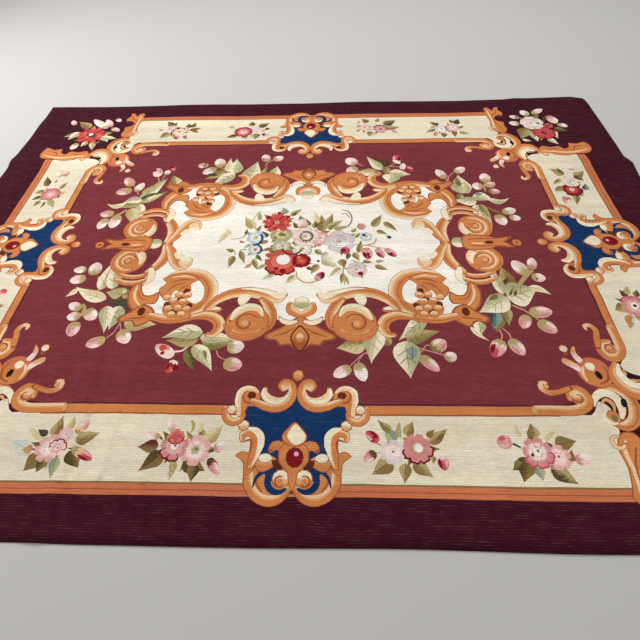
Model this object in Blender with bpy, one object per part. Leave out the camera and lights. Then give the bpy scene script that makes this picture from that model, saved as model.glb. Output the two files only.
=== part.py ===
"""A flat-woven tapestry rug of the Aubusson kind, laid out on a floor.

The rug is one piece of cloth, so it is one solid: a sheet as thick as the weave, with the
slightly wandering outline of a hand-woven rug and a few soft folds that rise off the floor.
Frame: metres, +Z up, origin on the floor under the middle of the woven design,
+X along the long side, +Y towards the far long side.
"""

import bmesh
import bpy
from mathutils import Vector

LONG_SIDE = 4.000  # nominal, across the design's long axis
SHORT_SIDE = 2.975  # nominal
THICKNESS = 0.003  # wool wefts packed over cotton warps
EDGE_REACH = 0.35  # how far in from an edge its wander fades out

# How far each edge lies outside its nominal straight line, at stations along it.
# Columns: station along the edge in metres, outward offset in millimetres.
LEFT_EDGE = (
    (-1.49, 2),
    (-1.10, -6),
    (-0.60, 3),
    (-0.10, -4),
    (0.60, -5),
    (0.71, -7),
    (0.80, 3),
    (0.92, -4),
    (1.08, -11),
    (1.24, -9),
    (1.35, -16),
    (1.49, -11),
)
RIGHT_EDGE = (
    (-1.49, -4),
    (-1.00, 5),
    (-0.45, -3),
    (0.10, 6),
    (0.40, 9),
    (0.55, 17),
    (0.645, 26),
    (0.70, 28),
    (0.76, 3),
    (0.88, 6),
    (1.20, 5),
    (1.43, 3),
    (1.49, -9),
)
NEAR_EDGE = (
    (-2.00, 3),
    (-1.45, -5),
    (-1.00, -4),
    (-0.72, 0),
    (-0.20, 2),
    (0.40, -3),
    (1.00, 4),
    (1.55, -2),
    (2.00, -6),
)
FAR_EDGE = (
    (-2.00, 5),
    (-1.55, -5),
    (-1.24, 0),
    (-0.90, 10),
    (-0.47, 3),
    (-0.10, 3),
    (0.35, 13),
    (0.65, 11),
    (1.02, 5),
    (1.39, 14),
    (1.54, 26),
    (1.77, 34),
    (1.91, 39),
    (2.00, 14),
)

# Soft folds. Columns: start, end (metres), height and half width (millimetres).
FOLDS = (
    ((-0.94, -0.62), (-0.89, -1.60), 6, 60),
    ((-0.79, -0.66), (-0.74, -1.38), 4, 55),
    ((-0.68, -0.90), (-0.65, -1.36), 4, 50),
    ((-2.10, 0.80), (-1.62, 0.76), 9, 75),
    ((2.10, 0.70), (1.66, 0.75), 12, 75),
    ((1.52, 1.60), (1.44, 1.32), 6, 90),
)
FOLD_END = 0.16  # length over which a fold runs out at each end

# Grid lines of the sheet, closer where the folds lie. Columns: from, to, number of cells.
ACROSS = (
    (-2.00, -1.60, 5),
    (-1.60, -1.04, 4),
    (-1.04, -0.56, 16),
    (-0.56, 1.36, 12),
    (1.36, 1.60, 5),
    (1.60, 1.95, 4),
    (1.95, 2.00, 1),
)
ALONG = (
    (-1.4875, -0.60, 9),
    (-0.60, 0.60, 8),
    (0.60, 0.90, 10),
    (0.90, 1.27, 4),
    (1.27, 1.44, 3),
    (1.44, 1.4875, 1),
)

WINE = (0.085, 0.022, 0.028, 1.0)


def clear_scene():
    for obj in list(bpy.data.objects):
        bpy.data.objects.remove(obj)


def grid_lines(spans):
    """The positions of the grid lines that a table of spans gives."""
    lines = [spans[0][0]]
    for start, end, cells in spans:
        step = (end - start) / cells
        lines += [start + step * (i + 1) for i in range(cells)]
    return lines


def smooth(t):
    t = min(1.0, max(0.0, t))
    return t * t * (3 - 2 * t)


def edge_offset(table, station):
    """Outward offset in metres at a station, eased between the table's rows."""
    if station <= table[0][0]:
        return table[0][1] / 1000
    for (s0, d0), (s1, d1) in zip(table, table[1:]):
        if station <= s1:
            return (d0 + (d1 - d0) * smooth((station - s0) / (s1 - s0))) / 1000
    return table[-1][1] / 1000


def fade(distance):
    """Share of an edge's wander that is left at a distance in from it."""
    return 1 - smooth(distance / EDGE_REACH)


def wandered(x, y):
    """A point of the straight rug, moved with the edges near it."""
    half_long, half_short = LONG_SIDE / 2, SHORT_SIDE / 2
    right = edge_offset(RIGHT_EDGE, y) * fade(half_long - x)
    left = edge_offset(LEFT_EDGE, y) * fade(half_long + x)
    far = edge_offset(FAR_EDGE, x) * fade(half_short - y)
    near = edge_offset(NEAR_EDGE, x) * fade(half_short + y)
    return x + right - left, y + far - near


def lift(x, y):
    """Height of the sheet's underside above the floor."""
    height = 0.0
    for start, end, top, half_width in FOLDS:
        a, b = Vector(start), Vector(end)
        run = (b - a).length
        along = (Vector((x, y)) - a).dot((b - a) / run)
        away = (Vector((x, y)) - a - (b - a) / run * along).length
        side = smooth(1 - away / (half_width / 1000))
        ends = smooth(along / FOLD_END) * smooth((run - along) / FOLD_END)
        height = max(height, top / 1000 * side * ends)
    return height


def make_material(name, colour, roughness):
    material = bpy.data.materials.new(name)
    material.use_nodes = True
    shader = material.node_tree.nodes["Principled BSDF"]
    shader.inputs["Base Color"].default_value = colour
    shader.inputs["Roughness"].default_value = roughness
    shader.inputs["Metallic"].default_value = 0.0
    return material


def make_rug():
    """The woven sheet: a grid on the outline, lifted at the folds and given its thickness."""
    columns, rows = grid_lines(ACROSS), grid_lines(ALONG)
    bm = bmesh.new()
    bmesh.ops.create_grid(bm, x_segments=len(columns) - 1, y_segments=len(rows) - 1, size=0.5)
    for vert in bm.verts:
        i = round((vert.co.x + 0.5) * (len(columns) - 1))
        j = round((vert.co.y + 0.5) * (len(rows) - 1))
        x, y = wandered(columns[i], rows[j])
        vert.co = (x, y, lift(x, y))
    top = bmesh.ops.extrude_face_region(bm, geom=bm.faces[:])
    for item in top["geom"]:
        if isinstance(item, bmesh.types.BMVert):
            item.co.z += THICKNESS
    bmesh.ops.recalc_face_normals(bm, faces=bm.faces[:])
    mesh = bpy.data.meshes.new("rug")
    bm.to_mesh(mesh)
    bm.free()
    mesh.shade_smooth()
    mesh.materials.append(make_material("wine wool", WINE, 0.92))
    rug = bpy.data.objects.new("rug", mesh)
    bpy.context.scene.collection.objects.link(rug)
    return rug


clear_scene()
make_rug()
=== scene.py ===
import bpy
import math
import numpy as np
from mathutils import Matrix, Vector, geometry, noise


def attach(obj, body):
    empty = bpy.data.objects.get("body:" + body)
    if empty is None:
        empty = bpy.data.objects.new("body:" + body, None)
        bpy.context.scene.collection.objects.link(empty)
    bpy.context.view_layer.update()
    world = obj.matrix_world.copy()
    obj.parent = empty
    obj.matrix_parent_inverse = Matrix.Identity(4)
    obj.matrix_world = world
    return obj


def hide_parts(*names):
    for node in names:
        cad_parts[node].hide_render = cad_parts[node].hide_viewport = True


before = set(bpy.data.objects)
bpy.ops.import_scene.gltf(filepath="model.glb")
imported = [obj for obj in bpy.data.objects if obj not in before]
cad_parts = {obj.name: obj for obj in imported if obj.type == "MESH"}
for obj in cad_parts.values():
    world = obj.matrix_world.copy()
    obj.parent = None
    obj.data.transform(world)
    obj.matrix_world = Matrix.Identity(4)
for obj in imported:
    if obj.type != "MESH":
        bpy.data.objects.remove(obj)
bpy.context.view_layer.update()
noise.seed_set(7)  # unseeded, the noise vectors change from run to run
print("frame loaded:", sorted(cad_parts))

# Camera: where the photographer stood, at the rug's near side, looking down across it
camera = {"place": (0.1557, -1.7189, 1.6546), "down": 53.956, "left": 3.079, "tilt": -2.489,
          "focal": 430 / 640, "sensor": 36.0}


def makeCamera():
    data = bpy.data.cameras.new("photo camera")
    data.sensor_width = camera["sensor"]
    data.lens = camera["focal"] * camera["sensor"]
    data.clip_end = 60
    down, left = math.radians(camera["down"]), math.radians(-camera["left"])
    ahead = Vector((math.sin(left) * math.cos(down), math.cos(left) * math.cos(down), -math.sin(down)))
    right = Vector((math.cos(left), -math.sin(left), 0))
    upright = Matrix((right, right.cross(ahead), -ahead)).transposed().to_4x4()
    place = Matrix.Translation(Vector(camera["place"]))
    obj = bpy.data.objects.new("photo camera", data)
    bpy.context.scene.collection.objects.link(obj)
    obj.matrix_world = place @ upright @ Matrix.Rotation(math.radians(camera["tilt"]), 4, "Z")
    bpy.context.scene.camera = obj


makeCamera()
print("camera placed")

# The design, drawn flat in centimetres from the rug's middle
wools = {  # sRGB
    "wine": (64, 20, 34), "burgundy": (122, 52, 58), "plum": (92, 40, 48),
    "amber": (208, 130, 74), "clay": (162, 86, 54), "bark": (96, 44, 30),
    "peach": (235, 199, 156), "cream": (240, 228, 198), "ivory": (246, 241, 228),
    "linen": (228, 218, 192), "navy": (20, 52, 95), "ruby": (130, 18, 32),
    "rose": (196, 84, 98), "pink": (226, 172, 166), "blush": (240, 214, 204),
    "scarlet": (200, 78, 66), "sage": (176, 174, 130), "olive": (130, 118, 70),
    "moss": (84, 72, 42), "teal": (132, 152, 138), "khaki": (180, 158, 106),
    "white": (238, 234, 224), "straw": (214, 200, 150), "slate": (60, 70, 70),
    "sky": (176, 194, 206), "mist": (206, 212, 198), "coral": (216, 118, 98), "dusk": (204, 138, 134),
    "bronze": (138, 110, 64), "salmon": (202, 116, 78), "black": (30, 24, 26), "shell": (234, 196, 188),
    "apricot": (220, 162, 108), "taupe": (168, 156, 140), "lilac": (214, 200, 200),
}

shapes = []
places = [(1, 0, 0, 1, 0, 0)]


def at(x, y, turn=0, size=1, flip=1):
    c = math.cos(math.radians(turn)) * size
    s = math.sin(math.radians(turn)) * size
    return (c * flip, -s, s * flip, c, x, y)


def join(p, q):
    a, b, c, d, e, f = p
    g, h, i, j, k, m = q
    return (a * g + b * i, a * h + b * j, c * g + d * i, c * h + d * j, a * k + b * m + e,
            c * k + d * m + f)


def draw(motif, spots, *sizes, **more):
    global places
    kept = places
    places = [join(p, q) for p in kept for q in spots]
    motif(*sizes, **more)
    places = kept


both = [at(0, 0), at(0, 0, flip=-1)]
nearAndFar = [at(0, 0), at(0, 0, 180, flip=-1)]
four = [join(p, q) for p in both for q in nearAndFar]


def paint(points, wool, shade=None, mix=None):
    # one patch of wool; a second wool comes in from top to bottom unless mix says where
    if shade and not mix:
        high, low = max(y for x, y in points), min(y for x, y in points)
        mix = [(high - y) / (high - low) for x, y in points]
    for a, b, c, d, e, f in places:
        moved = [(a * x + b * y + e, c * x + d * y + f) for x, y in points]
        area = sum(x0 * y1 - x1 * y0 for (x0, y0), (x1, y1) in zip(moved, moved[1:] + moved[:1]))
        weights = list(mix) if mix else None
        if area < 0:
            moved.reverse()
            if weights:
                weights.reverse()
        if abs(area) > 0.004:
            shapes.append((moved, wool, shade, weights))


def smooth(points, step=1.5):
    line = []
    for i in range(len(points) - 1):
        a, b, c, d = points[max(i - 1, 0)], points[i], points[i + 1], points[min(i + 2,
                                                                                 len(points) - 1)]
        count = max(1, math.ceil(math.dist(b[:2], c[:2]) / step))
        for k in range(count):
            t = k / count
            line.append(tuple(0.5 * (2 * q + (r - p) * t + (2 * p - 5 * q + 4 * r - s) * t * t
                                     + (3 * q - p - 3 * r + s) * t ** 3)
                              for p, q, r, s in zip(a, b, c, d)))
    line.append(tuple(points[-1]))
    return line


def arc(x, y, r, start, end, *widths, r2=None, count=None):
    n = count or max(3, round(abs(end - start) / 30) + 1)
    r2 = r if r2 is None else r2
    line = []
    for i in range(n):
        t = i / (n - 1)
        a = math.radians(start + (end - start) * t)
        k = t * (len(widths) - 1)
        j = min(int(k), len(widths) - 2) if len(widths) > 1 else 0
        w = widths[0] if len(widths) == 1 else widths[j] + (widths[j + 1] - widths[j]) * (k - j)
        rr = r + (r2 - r) * t
        line.append((x + rr * math.cos(a), y + rr * math.sin(a), w))
    return line


def stations(points, step):
    # a smoothed line with its sideways direction, thinned where it runs nearly straight
    line = smooth(points, step)
    kept = [line[0]]
    for here, ahead in zip(line[1:], line[2:]):
        a = math.atan2(here[1] - kept[-1][1], here[0] - kept[-1][0])
        b = math.atan2(ahead[1] - here[1], ahead[0] - here[0])
        bend = abs((b - a + math.pi) % (2 * math.pi) - math.pi)
        if bend > 0.12 or math.dist(here[:2], kept[-1][:2]) > 4.2 * step / 1.5:
            kept.append(here)
    kept.append(line[-1])
    found = []
    for i, (x, y, w) in enumerate(kept):
        ahead, back = kept[min(i + 1, len(kept) - 1)], kept[max(i - 1, 0)]
        dx, dy = ahead[0] - back[0], ahead[1] - back[1]
        run = math.hypot(dx, dy) or 1
        found.append((x, y, w, -dy / run, dx / run))
    return found


def strips(points, bands, step=1.5, along=False, ends=True):
    # bands side by side along one line, each from one reach to the next: shares of the half width
    # plus centimetres
    line = stations(points, step)
    n = len(line) - 1

    def edge(reach, k):
        x, y, w, nx, ny = line[k]
        off = reach[0] * w / 2 + reach[1]
        return (x + nx * off, y + ny * off)

    if ends:
        low, high = bands[0][0], bands[-1][1]
        for k, way in ((0, -1), (n, 1)):
            x, y, w, nx, ny = line[k]
            for wool, lo, hi in ((bands[0][2], low, high),
                                 (bands[len(bands) // 2][2], (low[0], 0), (high[0], 0))):
                a, b = edge(lo, k), edge(hi, k)
                half = math.dist(a, b) / 2
                if half > 0.5 and (lo != (low[0], 0) or low[1]  or wool != bands[0][2]):
                    cx, cy = (a[0] + b[0]) / 2, (a[1] + b[1]) / 2
                    ring = [a]
                    for t in (30, 60, 90, 120, 150):
                        c, s = math.cos(math.radians(t)), math.sin(math.radians(t))
                        ring.append((cx - nx * half * c + ny * half * s * way,
                                     cy - ny * half * c - nx * half * s * way))
                    paint(ring + [b], wool)
    for lo, hi, wool, shade in bands:
        start = 0
        while start < n:
            end, turned = start, 0.0
            side = []
            while end < n:
                quad = [edge(hi, end), edge(lo, end), edge(lo, end + 1), edge(hi, end + 1)]
                if crossed(quad) or (shade and not along and end > start):
                    break
                a, b = line[end], line[end + 1]
                turned += abs(math.atan2(a[3] * b[4] - a[4] * b[3], a[3] * b[3] + a[4] * b[4]))
                if turned > 1.9 and end > start:
                    break
                end += 1
            if end > start:
                ring = [edge(hi, k) for k in range(start, end + 1)] + [edge(lo, k) for k in range(end,
                    start - 1, -1)]
                count = end - start + 1
                mix = [0] * count + [1] * count
                if along:
                    mix = [k / n for k in range(start, end + 1)] + [k / n for k in range(end, start - 1,
                                                                                         -1)]
                paint(ring, wool, shade, mix if shade else None)
                start = end
            else:
                m = start / n if along else 0.5
                paint(quad[:3], wool, shade, [m, m, m] if shade else None)
                paint([quad[0], quad[2], quad[3]], wool, shade, [m, m, m] if shade else None)
                start += 1


def ribbon(points, wool, shade=None, grow=0, shift=0, slim=1, step=1.5, along=False, ends=True):
    strips(points, [((shift - slim, -grow), (shift + slim, grow), wool, shade)], step, along, ends)


def crossed(quad):
    def side(a, b, c):
        return (b[0] - a[0]) * (c[1] - a[1]) - (b[1] - a[1]) * (c[0] - a[0]) > 0
    turns = {side(quad[i], quad[(i + 1) % 4], quad[(i + 2) % 4]) for i in range(4)}
    return len(turns) > 1


def disc(x, y, r, wool, shade=None, tall=1, turn=0, points=None):
    n = points or max(7, min(18, round(r * 3.2)))
    t = math.radians(turn)
    ring, mix = [], []
    for i in range(n):
        a = 2 * math.pi * i / n
        px, py = r * math.cos(a), r * tall * math.sin(a)
        ring.append((x + px * math.cos(t) - py * math.sin(t), y + px * math.sin(t) + py * math.cos(t)))
        mix.append(0.5 - 0.5 * math.sin(a))
    paint(ring, wool, shade, mix)


def blob(points, wool, shade=None, step=2.0, mix=None):
    closed = [p + (0,) for p in points]
    n = len(closed)
    line = []
    for i in range(n):
        seg = smooth([closed[i - 1], closed[i], closed[(i + 1) % n], closed[(i + 2) % n]], step)
        a, b = closed[i], closed[(i + 1) % n]
        first = next(k for k, q in enumerate(seg) if math.dist(q[:2], a[:2]) < 1e-6)
        last = next(k for k, q in enumerate(seg) if k > first and math.dist(q[:2], b[:2]) < 1e-6)
        line += [q[:2] for q in seg[first:last]]
    paint(line, wool, shade, mix)


def scroll(points, light=1, cream=0.0, edge=0.3, body="amber", line=True, pale=0.28, rim="clay"):
    # an acanthus scroll: thin dark edges, amber body with a fold line, paling towards the lit side
    reaches = [((-1, -edge), rim), ((-1, 0), body)]
    reaches += [((-0.5, 0), "clay"), ((-0.36, 0), body)] if line else []
    reaches += [((pale - 0.25, 0), "apricot"), ((pale + 0.12, 0), "peach")]
    reaches += [((1 - cream, 0), "cream")] if cream else []
    reaches += [((1, 0), rim), ((1, edge), None)]
    bands = []
    for (lo, wool), (hi, _) in zip(reaches, reaches[1:]):
        bands.append((lo, hi, wool, None) if light > 0 else ((-hi[0], -hi[1]), (-lo[0], -lo[1]), wool,
                                                             None))
    strips(points, bands if light > 0 else bands[::-1])


def ball(x, y, r, top="cream", bottom="amber", tall=1):
    disc(x, y, r + 0.4, "clay", tall=tall)
    disc(x, y, r, top, bottom, tall=tall)


# Border
rug = {"halfLong": 200, "halfShort": 148.75}
border = {"fieldX": 141.1, "fieldY": 95.3, "creamX": (144.7, 172.2), "creamY": (99.5, 128.0),
          "outer": 4.1,
          "panelLong": 126, "panelShort": 80}


def box(x0, y0, x1, y1, wool, step=4.0):
    line = []
    corners = [(x0, y0), (x1, y0), (x1, y1), (x0, y1)]
    for (ax, ay), (bx, by) in zip(corners, corners[1:] + corners[:1]):
        n = max(1, math.ceil(math.dist((ax, ay), (bx, by)) / step))
        line += [(ax + (bx - ax) * k / n, ay + (by - ay) * k / n) for k in range(n)]
    paint(line, wool)


def ground():
    b = border
    box(-rug["halfLong"], -rug["halfShort"], rug["halfLong"], rug["halfShort"], "wine")
    # field with chamfered corners
    quarter = [(b["fieldX"], 0), (b["fieldX"], 70), (136, 80), (129, 88), (119, 93), (108, b["fieldY"]),
               (0, b["fieldY"])]
    ring = quarter + [(-x, y) for x, y in quarter[-2::-1]]
    ring += [(-x, -y) for x, y in quarter[1:]] + [(x, -y) for x, y in quarter[-2:0:-1]]
    line = []
    for (ax, ay), (bx, by) in zip(ring, ring[1:] + ring[:1]):
        n = max(1, math.ceil(math.dist((ax, ay), (bx, by)) / 3))
        line += [(ax + (bx - ax) * k / n, ay + (by - ay) * k / n) for k in range(n)]
    paint(line, "burgundy")
    for sy in (1, -1):
        y0, y1 = b["creamY"]
        lo, hi = sorted((sy * y0, sy * y1))
        box(-b["panelLong"], lo, b["panelLong"], hi, "linen")
    for sx in (1, -1):
        x0, x1 = b["creamX"]
        lo, hi = sorted((sx * x0, sx * x1))
        box(lo, -b["panelShort"], hi, b["panelShort"], "linen")
    draw(bands, nearAndFar)
    draw(sideBands, both)


def bands():
    b = border
    y0, y1 = b["creamY"]
    box(-107, -y0 - 0.7, 107, -y0, "clay")
    box(-107, -y0, 107, -b["fieldY"], "amber")
    box(-107, -b["fieldY"] - 0.5, 107, -b["fieldY"] + 0.4, "plum")
    box(-126, -y1 - 0.1, 126, -y1 + 0.7, "bronze")
    box(-126, -y1 - b["outer"], 126, -y1, "salmon")
    box(-126, -y1 - b["outer"] * 0.56, 126, -y1 - b["outer"] * 0.47, "clay")


def sideBands():
    b = border
    x0, x1 = b["creamX"]
    box(x0, -64, x0 + 0.7, 64, "clay")
    box(b["fieldX"], -64, x0, 64, "amber")
    box(b["fieldX"] - 0.5, -64, b["fieldX"] + 0.5, 64, "plum")
    box(x1 - 0.7, -80, x1, 80, "bronze")
    box(x1, -80, x1 + b["outer"], 80, "salmon")
    box(x1 + b["outer"] * 0.47, -80, x1 + b["outer"] * 0.56, 80, "clay")


def mirror(half):
    # the other half of an outline that starts and ends on the middle line
    return half + [(-x, y) for x, y in half[-2:0:-1]]


def rimmedBlob(points, wool, shade=None, rim="clay", edge=0.35, step=2.0):
    # a patch with a thin dark outline of even width
    n = len(points)
    area = sum(points[i - 1][0] * points[i][1] - points[i][0] * points[i - 1][1] for i in range(n))
    ring = []
    for i in range(n):
        (ax, ay), (x, y), (cx, cy) = points[i - 1], points[i], points[(i + 1) % n]
        run = math.dist((ax, ay), (cx, cy)) or 1
        out = edge if area > 0 else -edge
        ring.append((x + (cy - ay) / run * out, y - (cx - ax) / run * out))
    blob(ring, rim, step=step)
    blob(points, wool, shade, step=step)


def cartouche():
    blob(mirror([(0, -90), (2.6, -95.6), (8, -97.4), (15, -97), (21, -95.6), (22.4, -100), (20, -104.6),
                 (14.6, -106.6), (12.6, -112),
                 (14, -118), (9, -121), (9, -129), (0, -131)]), "navy")
    draw(cartoucheHalf, both)
    # flower
    for x in (6, -6):
        blob([(x * 0.7, -119.4), (x * 1.35, -118.6), (x * 1.25, -121.4), (x * 0.7, -122.6)], "bark")
    rimmedBlob(mirror([(0, -111.6), (4, -112.6), (5.6, -115.4), (5.4, -119.2), (3.4, -121.6),
                       (1.7, -123.6), (1.2, -127), (0, -130)]), "amber")
    rimmedBlob(mirror([(0, -103.3), (2.5, -105.8), (4.7, -108.8), (3.8, -111.6), (0, -113.3)]), "amber")
    blob([(0.3, -103.9), (2.6, -106.2), (4.5, -108.8), (3.6, -111.3), (0.8, -112.6), (-1.5, -111.4),
          (-2.9, -108.8), (-1.6, -106)], "cream")
    disc(0.4, -117.6, 3.5, "bark", tall=1.16)
    disc(0.4, -117.6, 3.0, "ruby", tall=1.2)
    disc(1.0, -116.2, 1.0, "pink")
    ball(0, -81.8, 2.2, "apricot", "amber", tall=1.15)


def cartoucheHalf():
    # lower lobe
    rimmedBlob([(0.4, -122), (6, -119), (14, -117.5), (17.6, -121), (18, -128), (14.6, -132.8),
                (9, -135.2), (4, -134), (0.4, -129.4)], "amber")
    scroll([(16, -118, 2.6), (16.6, -122.4, 3.2), (16, -127.6, 3.6), (13, -131.8, 3.8),
            (8.6, -133.4, 3.8), (4.4, -132.4, 3.2), (1.6, -129, 2.2)],
           light=-1, line=False, edge=0.15)
    ribbon([(13.6, -124.6, 0.4), (13.2, -127.6, 0.7), (11, -130.4, 0.4)], "clay")
    ribbon(arc(5.2, -126.4, 4.1, 20, -140, 2.4, 2.6, 2.2, 0.9), "navy")
    blob([(5.8, -122.6), (8.4, -121.4), (10.6, -122.8), (9.8, -125.6), (8.2, -127)], "navy")
    ribbon([(9, -122.6, 1.8), (11.8, -123.4, 1.7), (13.8, -125.8, 1.2), (14.6, -129, 0.4)], "navy")
    disc(4.3, -125.6, 3.5, "clay")
    disc(4.3, -125.6, 3.15, "cream", "apricot")
    ribbon(arc(4.6, -126.6, 1.9, 120, -150, 0.5, 0.9, 0.5), "clay")
    disc(4.6, -126.8, 1.3, "amber")
    # petal and its pale knob
    rimmedBlob([(6.4, -119.4), (8.4, -117.4), (13.4, -117.6), (14.8, -119.6), (12.8, -122.8),
                (9.4, -122.2)], "apricot", "amber")
    rimmedBlob([(8.2, -118.2), (9.6, -116.5), (12, -116.3), (13.8, -117.8), (12.6, -119.3),
                (9.6, -119.4)], "cream", edge=0.2)
    # side C, the notch and the point below it
    rimmedBlob([(14.8, -117), (17.2, -116.4), (20, -115.5), (22.2, -117), (20, -118.4), (18.6, -120.4),
                (18.3, -124), (15.6, -123)], "amber")
    scroll([(20.6, -110.8, 1.4), (20.8, -108.8, 2.6), (18.2, -107.4, 3.4), (15.4, -109, 4.2),
            (14.8, -113, 4.4), (15.4, -117.4, 3.6), (16.4, -121, 2)],
           light=-1, line=False)
    ribbon([(18.8, -105.9, 0.8), (16, -106.6, 2.4), (13.6, -109, 2.9), (13.1, -113, 2.4),
            (14, -117, 1.2), (15.4, -120, 0.4)], "cream")
    ribbon([(19.8, -111.4, 0.5), (17.4, -110.6, 1.0), (16.8, -113.6, 0.9), (17.4, -116, 0.5)], "clay")
    # bead, hook at the panel's edge, hump with its dark eye
    ball(20.8, -104.7, 2.1, "cream", "apricot")
    scroll([(21.8, -99.6, 2), (22.8, -102.4, 2.6), (26, -103.2, 3), (28.6, -101, 3), (29.4, -97, 2.2)],
           light=1, line=False)
    rimmedBlob([(15.6, -93), (16.4, -89.4), (20, -87.2), (24.6, -88.4), (25.6, -93), (24.6, -98),
                (23.4, -101), (21.4, -99.4), (20.4, -96), (17, -96)], "amber")
    ribbon([(16.4, -90, 0.8), (18.4, -88.2, 1.8), (21.4, -87.8, 2.3), (24.2, -89.8, 2.5),
            (24.8, -93.6, 2.5), (24, -97.6, 2.3), (23.4, -100.6, 1.2)], "peach")
    ribbon([(18.6, -87.7, 0.5), (21.6, -87.2, 1.0), (24.8, -89.2, 1.2), (25.4, -93.6, 1.1),
            (24.6, -97.6, 0.6)], "cream")
    ribbon(arc(19.6, -91.6, 3.2, 60, -160, 0.4, 0.9, 0.5), "clay")
    disc(19.2, -91.2, 2.0, "bark", tall=0.9)
    ball(26.7, -97.7, 1.9, "cream", "peach")
    # top C
    scroll([(6, -88.6, 1.6), (7.2, -86.9, 2.2), (5.6, -85, 2.6), (3.2, -85.6, 3), (1.9, -89, 3.4),
            (2.7, -93, 3.8), (5.8, -96, 4.1),
            (10, -96.7, 4), (14.6, -95.6, 3.4), (18.6, -93.6, 2)], light=1, line=False)
    disc(5.3, -87, 2.0, "apricot", "peach")
    ribbon([(13.6, -87.8, 1.4), (13.9, -90.4, 3.0), (11.6, -92.9, 3.5), (7.8, -93.8, 2.9),
            (4.8, -92.3, 1.5), (3.4, -89.4, 0.5)], "clay", grow=0.2)
    ribbon([(13.6, -87.8, 1.4), (13.9, -90.4, 3.0), (11.6, -92.9, 3.5), (7.8, -93.8, 2.9),
            (4.8, -92.3, 1.5), (3.4, -89.4, 0.5)], "cream", "peach")
    # horn petals
    for grow, wool in ((0.3, "clay"), (0, "amber")):
        ribbon([(3.4, -115.4, 2.8), (5.2, -113.3, 3.6), (7.6, -113.1, 3.4), (8.8, -114.6, 2.2)], wool,
               grow=grow)


def cartouches():
    draw(cartouche, [at(0, 0), at(0, 0, 180), at(45.8, 0, 90), at(-45.8, 0, -90)])


# Medallion
def ivoryGround():
    quarter = [(73, 0), (76, -10), (80, -20), (83, -28), (84, -38), (80, -46), (72, -49), (60, -48),
               (50, -45), (44, -40),
               (30, -35), (17, -38), (13, -50), (5, -54), (0, -50)]
    ring = quarter + [(-x, y) for x, y in quarter[-2::-1]]
    ring += [(-x, -y) for x, y in quarter[1:]] + [(x, -y) for x, y in quarter[-2:0:-1]]
    blob(ring, "ivory", step=3)


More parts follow.
